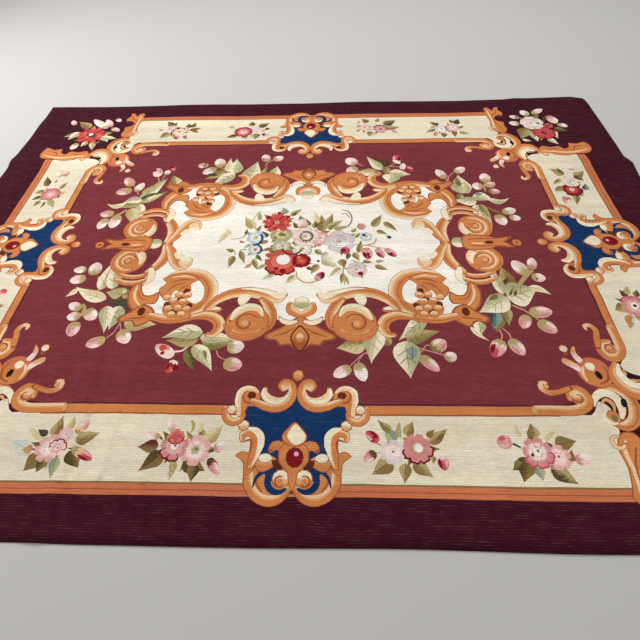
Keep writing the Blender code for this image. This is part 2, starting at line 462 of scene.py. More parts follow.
def medallionQuarter():
    # striped arcs
    for y, w in ((-22.6, 2.6), (-26.8, 3.0)):
        scroll([(80.6, y + 0.8, w * 0.8), (86, y - 1.6, w), (92, y - 1.4, w), (97.4, y + 1, w * 0.6)],
               line=False)
    # side C-scroll
    disc(94, -12.5, 9.4, "clay")
    disc(94, -12.5, 9.0, "amber")
    ribbon(arc(94, -12.5, 7.2, 205, 110, 1.2, 3.6, 4.2, 2.2), "peach", "cream")
    scroll(arc(94, -12.5, 7.6, 115, -110, 2.6, 3.8, 4.2, 4.0, 2.4), light=-1)
    ribbon(arc(94.2, -12.5, 4.4, 170, -140, 0.5, 1.3, 1.1, r2=1.4), "clay")
    ribbon(arc(94.2, -12.5, 3.2, 150, -60, 0.6, 1.4, 0.6), "peach")
    disc(94.6, -13, 1.5, "apricot")
    # limb from the crossing
    scroll([(76, -1, 4.6), (75, -8, 5.6), (76.4, -14, 5.6), (79.4, -18.6, 4.8), (82, -21.4, 3)],
           light=1)
    ribbon([(80.6, -17.8, 2.2), (79.2, -22, 3.8), (79.2, -26.4, 3.0), (81.5, -29.6, 0.8)], "clay",
           grow=0.25)
    ribbon([(80.6, -17.8, 2.2), (79.2, -22, 3.8), (79.2, -26.4, 3.0), (81.5, -29.6, 0.8)], "cream")
    # hook and its inward lobe
    blob([(86, -29), (88, -35), (86.6, -42), (82, -47.4), (76, -49), (74.6, -45.4), (77.4, -42.6),
          (73, -42.4), (71.6, -38.4), (72.8, -34.4), (75.4, -36.4),
          (79, -36.6), (81.4, -33), (82.6, -28.4)], "clay")
    blob([(85.6, -29.6), (87.2, -35), (85.8, -41.6), (81.6, -46.4), (76.4, -48), (75.6, -45.6),
          (79, -42.4), (73.6, -41.8), (72.3, -38.4), (73, -35.4), (75.4, -37.2),
          (79.4, -37.4), (82, -33.6), (83.2, -29)], "amber")
    ribbon([(84.4, -30, 0.6), (84.6, -35.6, 1.4), (82.6, -40.4, 1.2), (79, -44.6, 0.6)], "peach")
    ribbon([(83.4, -33, 0.4), (81, -38.4, 0.7), (76.4, -39.8, 0.4)], "clay")
    # corner knot
    blob([(71, -50), (73.6, -44.4), (79, -42.6), (83.4, -46.6), (89, -50.6), (87.4, -53.4), (81.6, -53),
          (79.4, -56), (74.6, -54)], "clay")
    blob([(72, -50), (74.2, -45.2), (79, -43.4), (82.8, -47.2), (87.8, -51), (86.8, -52.6),
          (81.2, -52.2), (79, -55), (75, -53.2)], "amber")
    disc(78.4, -47, 2.0, "bark", tall=1.4)
    ribbon([(73.4, -49.8, 0.5), (78, -50.6, 1.0), (85.4, -51.6, 0.4)], "clay")
    # lower rail and its outer curl
    scroll([(40.4, -45.6, 2.6), (45, -46.4, 4.2), (51, -48.8, 4.8), (58, -51, 4.8), (66, -51.4, 4.6),
            (74.4, -49.4, 3.4)], light=1)
    ribbon([(40, -45.4, 1.4), (44, -44.8, 2.2), (48, -46, 1.2)], "cream")
    scroll([(53, -50.4, 2.6), (46, -49.4, 4.6), (40.6, -51.6, 5.4), (38.8, -56, 5.2), (40.8, -60, 3.6),
            (44, -60.6, 1.6)], light=-1)
    # ring C-scroll with grapes
    blob([(49.6, -40), (53, -42.2), (57, -40), (62, -38.6), (66.4, -40.6), (68.6, -45), (66, -49.6),
          (58, -50.4), (52, -48)], "amber")
    scroll([(71, -26, 1.4), (66.4, -23, 4.6), (58.6, -22, 6), (51, -24.6, 6.4), (46.6, -31, 6.6),
            (46.4, -38.4, 6), (49.6, -44.6, 4.4), (54, -48, 2)], light=-1, cream=0.2)
    leafBack = [(54, -26), (60, -22.4), (67, -22.6), (72, -26), (69.6, -28.6), (72.4, -32.6),
                (70, -37.6), (66, -36.8), (64, -33.4), (60, -35.6), (56.6, -33.4), (57.6, -29.8)]
    blob([(x + (x - 63) * 0.05, y + (y + 30) * 0.06) for x, y in leafBack], "clay")
    blob(leafBack, "amber")
    for line in ([(57, -26.6, 0.4), (63, -26.4, 1.0), (68, -28.6, 0.4)],
                 [(60, -28.6, 0.4), (65, -30, 1.0), (68.6, -34.6, 0.4)], [(58.4, -30, 0.4),
                     (61, -31.6, 0.8), (62.6, -34, 0.3)]):
        ribbon(line, "clay")
    ribbon([(56, -25.2, 0.5), (62, -23.8, 1.2), (68, -24.8, 0.5)], "peach")
    for x, y in ((58.6, -34), (60.6, -39), (66.6, -42.5), (62.4, -47.2), (55.6, -43.4)):
        disc(x, y, 1.8, "bark")
    for x, y in ((57.6, -36.6), (62, -36.4), (59.4, -40.6), (64.2, -40.2), (67.6, -38.2), (56.6, -45.4),
                 (61, -44.6), (65.8, -45), (63.4, -48.6), (58.6, -48.6)):
        disc(x, y, 2.3, "clay")
        disc(x, y, 2.0, "peach", "amber")
    # arch
    scroll([(46.8, -45.6, 2.6), (42, -39.6, 4.8), (35.4, -35.8, 5.6), (27, -34.6, 6.2),
            (19, -36.4, 6.8), (12, -38.4, 6.4), (8.6, -36.4, 2.6)], light=1)
    ribbon([(31, -32.4, 0.6), (24, -32.8, 1.6), (17, -34.8, 2.6), (11.4, -37.2, 3.8), (8.4, -35.4, 1.8),
            (9.4, -32.6, 0.8)], "cream")
    blob([(25.6, -36.8), (30.6, -36.4), (31.8, -40.6), (29.8, -43.6), (27, -41)], "cream")
    # limb beside the palmette
    scroll([(20, -39.4, 2.6), (16.4, -43.6, 4.8), (14.2, -50, 5.2), (15.4, -55.6, 4.4), (19, -58.6, 2)],
           light=1)
    # shell
    disc(25.6, -53, 10.8, "clay", tall=0.86)
    disc(25.6, -53, 10.3, "amber", tall=0.85)
    ribbon(arc(25.6, -52.8, 8.2, 215, 325, 1.4, 2.6, 1.4), "apricot")
    ribbon([(18.4, -50, 1), (21, -45.4, 3.8), (26, -44.4, 4.6), (31, -47.2, 4.2), (33.8, -52, 1.6)],
           "clay", grow=0.25)
    ribbon([(18.4, -50, 1), (21, -45.4, 3.8), (26, -44.4, 4.6), (31, -47.2, 4.2), (33.8, -52, 1.6)],
           "cream", "peach")
    ribbon(arc(26.4, -53.8, 6, 150, -200, 0.6, 1.3, 0.8, r2=1.8), "clay")
    disc(26.6, -53.8, 1.8, "apricot")
    ribbon([(15, -56.4, 1), (19, -60, 2.8), (25.6, -62.2, 3.4), (32.6, -60.4, 3), (36.4, -55, 1)],
           "clay", grow=0.25)
    ribbon([(15, -56.4, 1), (19, -60, 2.8), (25.6, -62.2, 3.4), (32.6, -60.4, 3), (36.4, -55, 1)],
           "amber", "salmon")


def bottomPalmette():
    draw(palmetteHalf, both)
    disc(0, -41.5, 4, "khaki")
    disc(0, -41.2, 3.5, "cream", "sage")
    blob([(0, -55), (3.2, -58.6), (4.6, -62), (2.8, -67), (0, -69.8), (-2.8, -67), (-4.6, -62),
          (-3.2, -58.6)], "bark")
    blob([(0, -56), (2.6, -59), (3.9, -62), (2.2, -66.4), (0, -69), (-2.2, -66.4), (-3.9, -62),
          (-2.6, -59)], "amber", "clay")
    disc(0, -62, 1.8, "peach", "amber", tall=1.4)


def palmetteHalf():
    blob([(-1, -50), (4, -52), (9, -56), (16.5, -60.5), (16, -63), (11, -64), (9.6, -66.6), (5, -66),
          (-1, -69)], "clay")
    blob([(-1, -51), (4, -53), (9, -57), (15.6, -61), (15, -62.4), (10.4, -63.4), (8.6, -65.8),
          (5, -65), (-1, -68)], "amber")
    ribbon([(3, -57, 0.5), (7, -59.6, 0.8), (13, -61.6, 0.3)], "clay")
    scroll([(5.6, -42.6, 2.6), (5, -46, 4.4), (1.5, -48.6, 3.6), (-0.5, -48.6, 2)], light=-1,
           line=False)
    ribbon([(1.5, -52.6, 1), (5, -53.6, 2.6), (8.6, -52.6, 2.2), (10, -50.6, 1)], "clay", grow=0.3)
    ribbon([(1.5, -52.6, 1), (5, -53.6, 2.6), (8.6, -52.6, 2.2), (10, -50.6, 1)], "cream")


def sidePalmette():
    disc(83, 0, 4, "khaki")
    disc(83, 0, 3.5, "sage", "cream")
    draw(sidePalmetteHalf, nearAndFar)
    disc(99.4, -0.2, 2.6, "bark", tall=0.5)
    ribbon([(90, -0.5, 1), (94, -1, 1.6), (96, -1, 0.6)], "peach")
    disc(114, -0.5, 2.7, "clay")
    disc(114, -0.5, 2.3, "amber")
    disc(114, -0.5, 1.1, "clay")


def sidePalmetteHalf():
    blob([(86, 1), (86, -5), (92, -6), (99, -5), (104, -3.4), (112, -4.4), (111, -2), (105, 0.4)],
         "clay")
    blob([(86.6, 1), (86.8, -4.4), (92, -5.2), (99, -4.2), (104, -2.6), (110, -3.4), (105, 0.4)],
         "amber")
    ribbon([(88, -2, 0.5), (94, -3, 0.8), (100, -2.6, 0.6), (108, -2.8, 0.3)], "clay")
    # inward leaf
    scroll([(76, -0.5, 2.6), (73, -5, 4.4), (70, -12, 5.4), (66, -17, 5), (61.6, -16, 3.4),
            (60.6, -12.4, 1.6)], light=1, line=False)
    blob([(62.4, -17), (60.4, -12), (62.4, -9.6), (64.6, -12), (67, -13.4), (65.6, -16.6)], "cream",
         "peach")
    blob([(64.6, -9), (67, -7.4), (70, -6.6), (70.4, -9), (68, -11.6), (65.6, -11.4)], "cream")


def medallion():
    ivoryGround()
    draw(medallionQuarter, four)
    draw(bottomPalmette, nearAndFar)
    draw(sidePalmette, both)


# Corners of the field and of the border's panels
def corner():
    # both panels reach a little way in between the scrolls
    blob([(114, 100), (119.4, 99.4), (122, 96.6), (124, 93.4), (127.6, 96), (128, 103), (126.4, 108),
          (118, 109)], "linen")
    blob([(145.4, 62), (144.4, 70), (139.6, 76), (142, 79.6), (148, 81.4), (157, 81.6), (158, 70),
          (149, 62)], "linen")
    # upright acanthus at the long panel's end
    rimmedBlob([(124.4, 127.6), (125.7, 120), (125, 113), (127.6, 107.4), (132.6, 107), (134.6, 110.8),
                (133.6, 115.4), (134.2, 118.8), (130.4, 120.4),
                (128.6, 123.4), (130, 126.2), (134.4, 126.6), (136, 131), (133.6, 133.8), (134.4, 138),
                (131.6, 137), (129.6, 133.4), (127.2, 137.6),
                (124.4, 136.8), (125, 133), (123.2, 130.6)], "amber", edge=0.5)
    ribbon([(126, 134.6, 0.5), (126.6, 128, 1.2), (127.2, 121, 1.5), (126.8, 114, 1.6),
            (128.6, 109.6, 0.8)], "peach")
    ribbon([(132.6, 135.4, 0.4), (131.6, 130.6, 1.0), (128.6, 128.4, 0.8), (127.9, 123, 0.6),
            (129, 117.6, 0.9), (131.6, 112, 0.5)], "clay")
    blob([(129.8, 125.6), (134, 125.8), (134.8, 128), (131, 127.4)], "bark")
    ribbon(arc(125.6, 110.4, 2.4, 20, 300, 1.0, 1.6, 1.2, 0.6), "clay", grow=0.25)
    ribbon(arc(125.6, 110.4, 2.4, 20, 300, 1.0, 1.6, 1.2, 0.6), "peach")
    # amber arc with a cream shell and two eyes, beside the long panel
    scroll([(125.6, 88.4, 1.4), (131, 86.8, 3.2), (136, 89.8, 4.4), (137.4, 95.6, 4.8),
            (135.2, 101.2, 4.6), (130.6, 104, 3.8), (126.6, 102.4, 2)], light=1)
    disc(127.4, 100.2, 3.2, "clay")
    disc(127.4, 100.2, 2.8, "apricot", "amber")
    disc(127.9, 100.6, 1.4, "olive", tall=1.2)
    ribbon(arc(127.2, 100, 3, 250, 60, 0.7, 1.8, 0.6), "cream")
    for grow, wool in ((0.25, "clay"), (0, "cream")):
        ribbon([(121.8, 95.4, 0.8), (123.6, 91.4, 2.8), (127.8, 89.3, 3.6), (131.6, 91.6, 3.6),
                (132.2, 96.6, 3.0), (130.6, 100.8, 1.4)], wool, grow=grow)
    ribbon([(124.6, 94.4, 0.5), (127.4, 92.4, 1.6), (129.4, 94.6, 1.6), (129, 98, 0.6)], "apricot")
    disc(134, 93.8, 1.3, "black", tall=1.7, turn=15)
    # the long band curls round and ends in a tendril
    scroll([(98, 97.4, 4.1), (108, 97.5, 4.1), (114.6, 97.2, 4.2), (119, 95, 4.2), (120, 91, 4),
            (117.4, 87.9, 3.6), (113.8, 88.8, 3), (113.2, 92, 2.2)], light=-1, line=False)
    disc(116.4, 91.8, 2.9, "amber", "peach")
    ribbon(arc(116.6, 91.6, 2.7, 200, -100, 0.4, 0.9, 0.4, r2=1.2), "clay")
    tendril([(114.6, 87.4, 2), (110, 89, 2), (105.6, 89.6, 2.2), (102.8, 87.6, 2.2), (103.2, 84.9, 2),
             (105.6, 85, 1.2)])
    disc(105, 86.6, 1.1, "apricot")
    # the short band curls round and ends in a tendril
    scroll([(142.9, 56, 4), (143.1, 62, 4.1), (142.9, 67.4, 4.2), (140.2, 71.6, 4.2), (136.2, 71.8, 4),
            (134, 68, 3.6), (135.4, 64.4, 3), (138.8, 63.8, 2.2)], light=1, line=False)
    disc(138.4, 67.6, 2.8, "amber", "apricot")
    ribbon(arc(138.4, 67.2, 2.6, 110, 400, 0.4, 0.9, 0.4, r2=1.1), "clay")
    tendril([(133.4, 66.6, 2.2), (134.4, 61.6, 2.5), (135.4, 57.6, 2.4), (133.6, 54.9, 2.1),
             (131.2, 55.2, 1.9), (131.4, 57.4, 1)])
    # pod with a dark eye, two pale tips and a ball
    rimmedBlob([(120.5, 80), (121, 76), (123.6, 73.4), (128, 72.4), (132.4, 74.4), (134, 79), (133, 84),
                (129.4, 86.6), (124.6, 86), (121.6, 83.6)], "amber", "salmon")
    ribbon([(131.4, 75.6, 0.5), (132.8, 79.4, 1.0), (131.4, 83.6, 1.2), (127.6, 85.3, 0.6)], "clay")
    ribbon([(123, 84, 0.5), (122.2, 80, 1.4), (123.4, 76.6, 1.0)], "peach")
    blob([(124.2, 75.8), (126.6, 74.6), (128.4, 76.4), (127, 78.8), (124.8, 78)], "cream")
    disc(128.6, 81, 1.4, "black", tall=1.6, turn=-12)
    rimmedBlob([(121.2, 79.6), (118.6, 77.4), (115.4, 75), (116, 72.6), (119.4, 74), (122, 76.8)],
               "blush", "apricot", edge=0.2)
    rimmedBlob([(124.4, 73.6), (122.7, 70.4), (122.9, 66.2), (120.5, 69), (120.8, 72.4), (122.2, 74.8)],
               "blush", "apricot", edge=0.2)
    disc(118, 70.3, 1.0, "clay")
    ball(117.8, 67.7, 1.8, "blush", "peach")
    # scroll with its dark eye at the short panel's end
    scroll([(137.4, 75, 1.6), (134.8, 79.6, 3.2), (135.6, 85, 4.2), (139.6, 89.4, 4.8),
            (145, 89.7, 4.4), (149, 85.6, 2.8)], light=-1, line=False)
    for grow, wool in ((0.25, "clay"), (0, "cream")):
        ribbon([(138.8, 75.2, 0.8), (137.6, 79.4, 2.8), (139, 83.8, 3.4), (142.8, 86, 3),
                (146.4, 84.4, 1.4)], wool, grow=grow)
    ribbon([(140, 77.4, 0.4), (140, 80.4, 1.2), (142.4, 83.4, 1.4), (145.4, 83, 0.5)], "apricot")
    disc(141.6, 81.4, 1.7, "black", tall=0.85, turn=-20)
    # ragged acanthus bar across the short panel's end
    rimmedBlob([(148, 82.4), (150.2, 86.8), (153, 89.8), (157.6, 88.4), (163, 89.4), (166, 86.2),
                (169.8, 88.6), (170.6, 92.6), (175, 91.4),
                (180.4, 93.4), (183, 88), (181.2, 83.2), (177, 81.4), (172, 81.2), (166, 79.4),
                (160, 80.2), (155, 82.2)], "amber", edge=0.5)
    ribbon([(151.4, 84.4, 0.6), (158, 84, 1.4), (166, 82.4, 1.6), (174, 83.4, 1.5), (180.6, 86, 0.6)],
           "peach")
    ribbon([(152.6, 87.8, 0.4), (157.4, 86.4, 1.0), (162.6, 87.4, 0.5)], "clay")
    ribbon([(171.4, 84.6, 0.5), (173, 88.6, 1.0), (177.6, 89.6, 0.5)], "clay")
    disc(152.4, 80.6, 2.0, "clay")
    disc(152.4, 80.6, 1.6, "peach", "apricot")


def tendril(points):
    ribbon(points, "clay", grow=0.3)
    ribbon(points, "amber", "peach", along=True)


# Leaves, buds and flowers, each from its foot to its tip
leafSteps = ((0, 0.1), (0.06, 0.55), (0.16, 0.86), (0.28, 1), (0.42, 0.95), (0.56, 0.75), (0.7, 0.5),
             (0.82, 0.27), (0.92, 0.11), (1, 0))
budSteps = ((0, 0.3), (0.06, 0.62), (0.18, 0.9), (0.35, 1), (0.55, 1), (0.72, 0.86), (0.86, 0.62),
            (0.96, 0.32), (1, 0.05))
veins = {"cream": "khaki", "sage": "olive", "straw": "khaki", "khaki": "olive", "olive": "moss",
         "bronze": "moss", "teal": "slate",
         "mist": "sage"}


def profile(long, wide, steps, bend=0.0):
    upper = [(long * t, wide / 2 * w + bend * math.sin(math.pi * t)) for t, w in steps]
    lower = [(long * t, -wide / 2 * w + bend * math.sin(math.pi * t)) for t, w in steps[::-1]]
    return upper + lower[1 if steps[-1][1] == 0 else 0:]


def towards(motif, x, y, tipX, tipY, *sizes):
    turn = math.degrees(math.atan2(tipY - y, tipX - x))
    draw(motif, [at(x, y, turn)], math.dist((x, y), (tipX, tipY)), *sizes)


def leaf(long, wide, wool, shade, bend=0.0):
    outline = profile(long, wide, leafSteps, bend * wide)
    half = len(leafSteps)
    paint(outline, wool, shade, [0.15] * half + [0.85] * (len(outline) - half))
    if long > 5:
        b = bend * wide
        ribbon([(long * 0.1, b * 0.3, 0.3), (long * 0.45, b, 0.45), (long * 0.8, b * 0.6, 0.2)],
               veins.get(wool, shade), step=3, ends=False)
    if long > 12:
        for way in (-1, 1):
            for t in (0.22, 0.42):
                x, y = long * t, b * math.sin(math.pi * t)
                paint([(x, y), (x + long * 0.03, y),
                       (x + long * 0.19, y + way * wide * 0.31 * (1.25 - t)), (x + long * 0.17,
                           y + way * wide * 0.33 * (1.25 - t))],
                      veins.get(wool, shade))


lighter = {"rose": "pink", "pink": "blush", "blush": "white", "ruby": "rose", "dusk": "pink",
           "cream": "white", "scarlet": "coral"}
deeper = {"blush": "shell", "pink": "dusk", "rose": "ruby", "dusk": "rose", "cream": "blush",
          "white": "blush", "ruby": "plum", "scarlet": "ruby"}


def bud(long, wide, wool, shade, cup="khaki"):
    # a bud shaded from foot to tip, deeper along one side and paler along the other, in a toothed cup
    outline = profile(long, wide, budSteps)
    paint(outline, wool, shade, [min(1, max(0, x / long * 1.7 - 0.1)) for x, y in outline])
    w = wide / 2
    for way, wool in ((-1, deeper.get(shade, shade)), (1, lighter.get(shade, shade))):
        paint([(long * x, way * w * y) for x, y in ((0.3, 0.5), (0.45, 0.3), (0.68, 0.25), (0.88, 0.36),
                                                    (0.78, 0.68), (0.55, 0.86), (0.4, 0.8))], wool)
    paint([(-long * 0.04, 0), (0, -w * 0.5), (long * 0.14, -w * 0.86), (long * 0.28, -w * 0.8),
           (long * 0.16, -w * 0.3), (long * 0.3, 0),
           (long * 0.16, w * 0.4), (long * 0.26, w * 0.85), (long * 0.12, w * 0.84), (0, w * 0.5)], cup)


def petal(reach, spread, wool, shade, inner=0.2, tip=0.0):
    # a petal fanning out from the middle to a waved end, shaded from its foot outwards
    ring, mix = [], []
    for r, a in ((inner, -0.5), (0.6, -0.94), (0.82, -1.0), (0.96, -0.72), (1.0, -0.36),
                 (0.96 - tip, 0), (1.0, 0.36),
                 (0.96, 0.72), (0.82, 1.0), (0.6, 0.94), (inner, 0.5)):
        turn = math.radians(spread * a / 2)
        ring.append((reach * r * math.cos(turn), reach * r * math.sin(turn)))
        mix.append((r - inner) / (1 - inner))
    paint(ring, wool, shade, mix)


def bloom(r, wool, shade, heart, rim=None, petals=6, rimmed=(0, 360)):
    # open flower: petals shaded from the heart outwards, some with a dark rim, a small inner ring, a heart
    step = 360 / petals
    for k in range(petals):
        turn = step * (k + 0.3)
        if rim and rimmed[0] <= turn % 360 <= rimmed[1]:
            draw(petal, [at(0, 0, turn)], r * 1.08 + 0.2, step * 1.1, rim, None)
    disc(0, 0, r * 0.72, shade, rim or shade)
    for k in range(petals):
        draw(petal, [at(0, 0, step * (k + 0.3))], r * 0.98, step * 0.93, wool, shade)
    for k in range(petals - 1):
        draw(petal, [at(0, 0, 360 / (petals - 1) * (k + 0.1))], r * 0.58, step * 0.9,
             shade if k % 2 else wool, wool)
    disc(0, 0, r * 0.28, heart)
    disc(r * 0.06, r * 0.05, r * 0.11, "olive")


def rose(r, wool, shade, line):
    # full rose: five broad petals, then thin curved lines towards the middle
    disc(0, 0, r * 0.8, shade)
    for k in range(5):
        draw(petal, [at(0, 0, 72 * k + 20)], r * 1.02, 74, line, None)
        draw(petal, [at(0, 0, 72 * k + 22)], r * 0.98, 70, wool, shade)
    disc(0, 0, r * 0.6, shade, wool)
    for reach, start, end in ((0.6, 200, 330), (0.58, 20, 130), (0.42, 150, 290), (0.4, -30, 90),
                              (0.2, 60, 250)):
        ribbon(arc(0, 0, r * reach, start, end, 0.25, 0.6, 0.25), line, ends=False)
    disc(0, 0, r * 0.12, line)


def ruffle(r, wool, shade, heart):
    # frilled flower: two rows of toothed petals over a dark ground, light ones among them
    disc(0, 0, r * 0.8, shade)
    for count, reach, inner in ((11, 1.0, 0.5), (9, 0.76, 0.3), (7, 0.5, 0.15)):
        for k in range(count):
            tone = ("coral", wool, wool, "rose", wool)[(k * 2 + count) % 5]
            size = r * reach * (1 + 0.05 * math.sin(k * 2.7 + count))
            draw(petal, [at(0, 0, 360 / count * (k + reach))], size, 360 / count * 0.8,
                 shade if k % 4 == 3 else wool, tone, inner, 0.06)
    disc(0, 0, r * 0.18, heart)
    disc(0, 0, r * 0.08, "olive")


def posy(stems=(), leaves=(), buds=(), blooms=(), roses=(), ruffles=(), dots=()):
    for wool, *line in stems:
        ribbon(line, wool, step=2, ends=False)
    for rows, spread in ((blooms, 1.5), (roses, 1.3), (ruffles, 1.25)):
        for x, y, turn, r, *look in rows:
            for k in range(3 if r > 4 else 0):
                a = math.radians(turn + 120 * k + 25 * math.sin(x + y))
                pair = (("olive", "moss"), ("khaki", "bronze"), ("bronze", "moss"))[(k + round(x)) % 3]
                towards(leaf, x, y, x + r * spread * math.cos(a), y + r * spread * math.sin(a),
                        r * 0.62, *pair)
    for x, y, tipX, tipY, *look in leaves:
        towards(leaf, x, y, tipX, tipY, *look)
    for x, y, tipX, tipY, *look in buds:
        towards(bud, x, y, tipX, tipY, *look)
    for motif, rows in ((bloom, blooms), (rose, roses), (ruffle, ruffles)):
        for x, y, turn, *look in rows:
            draw(motif, [at(x, y, turn)], *look)
    for x, y, r, wool in dots:
        disc(x, y, r, wool)


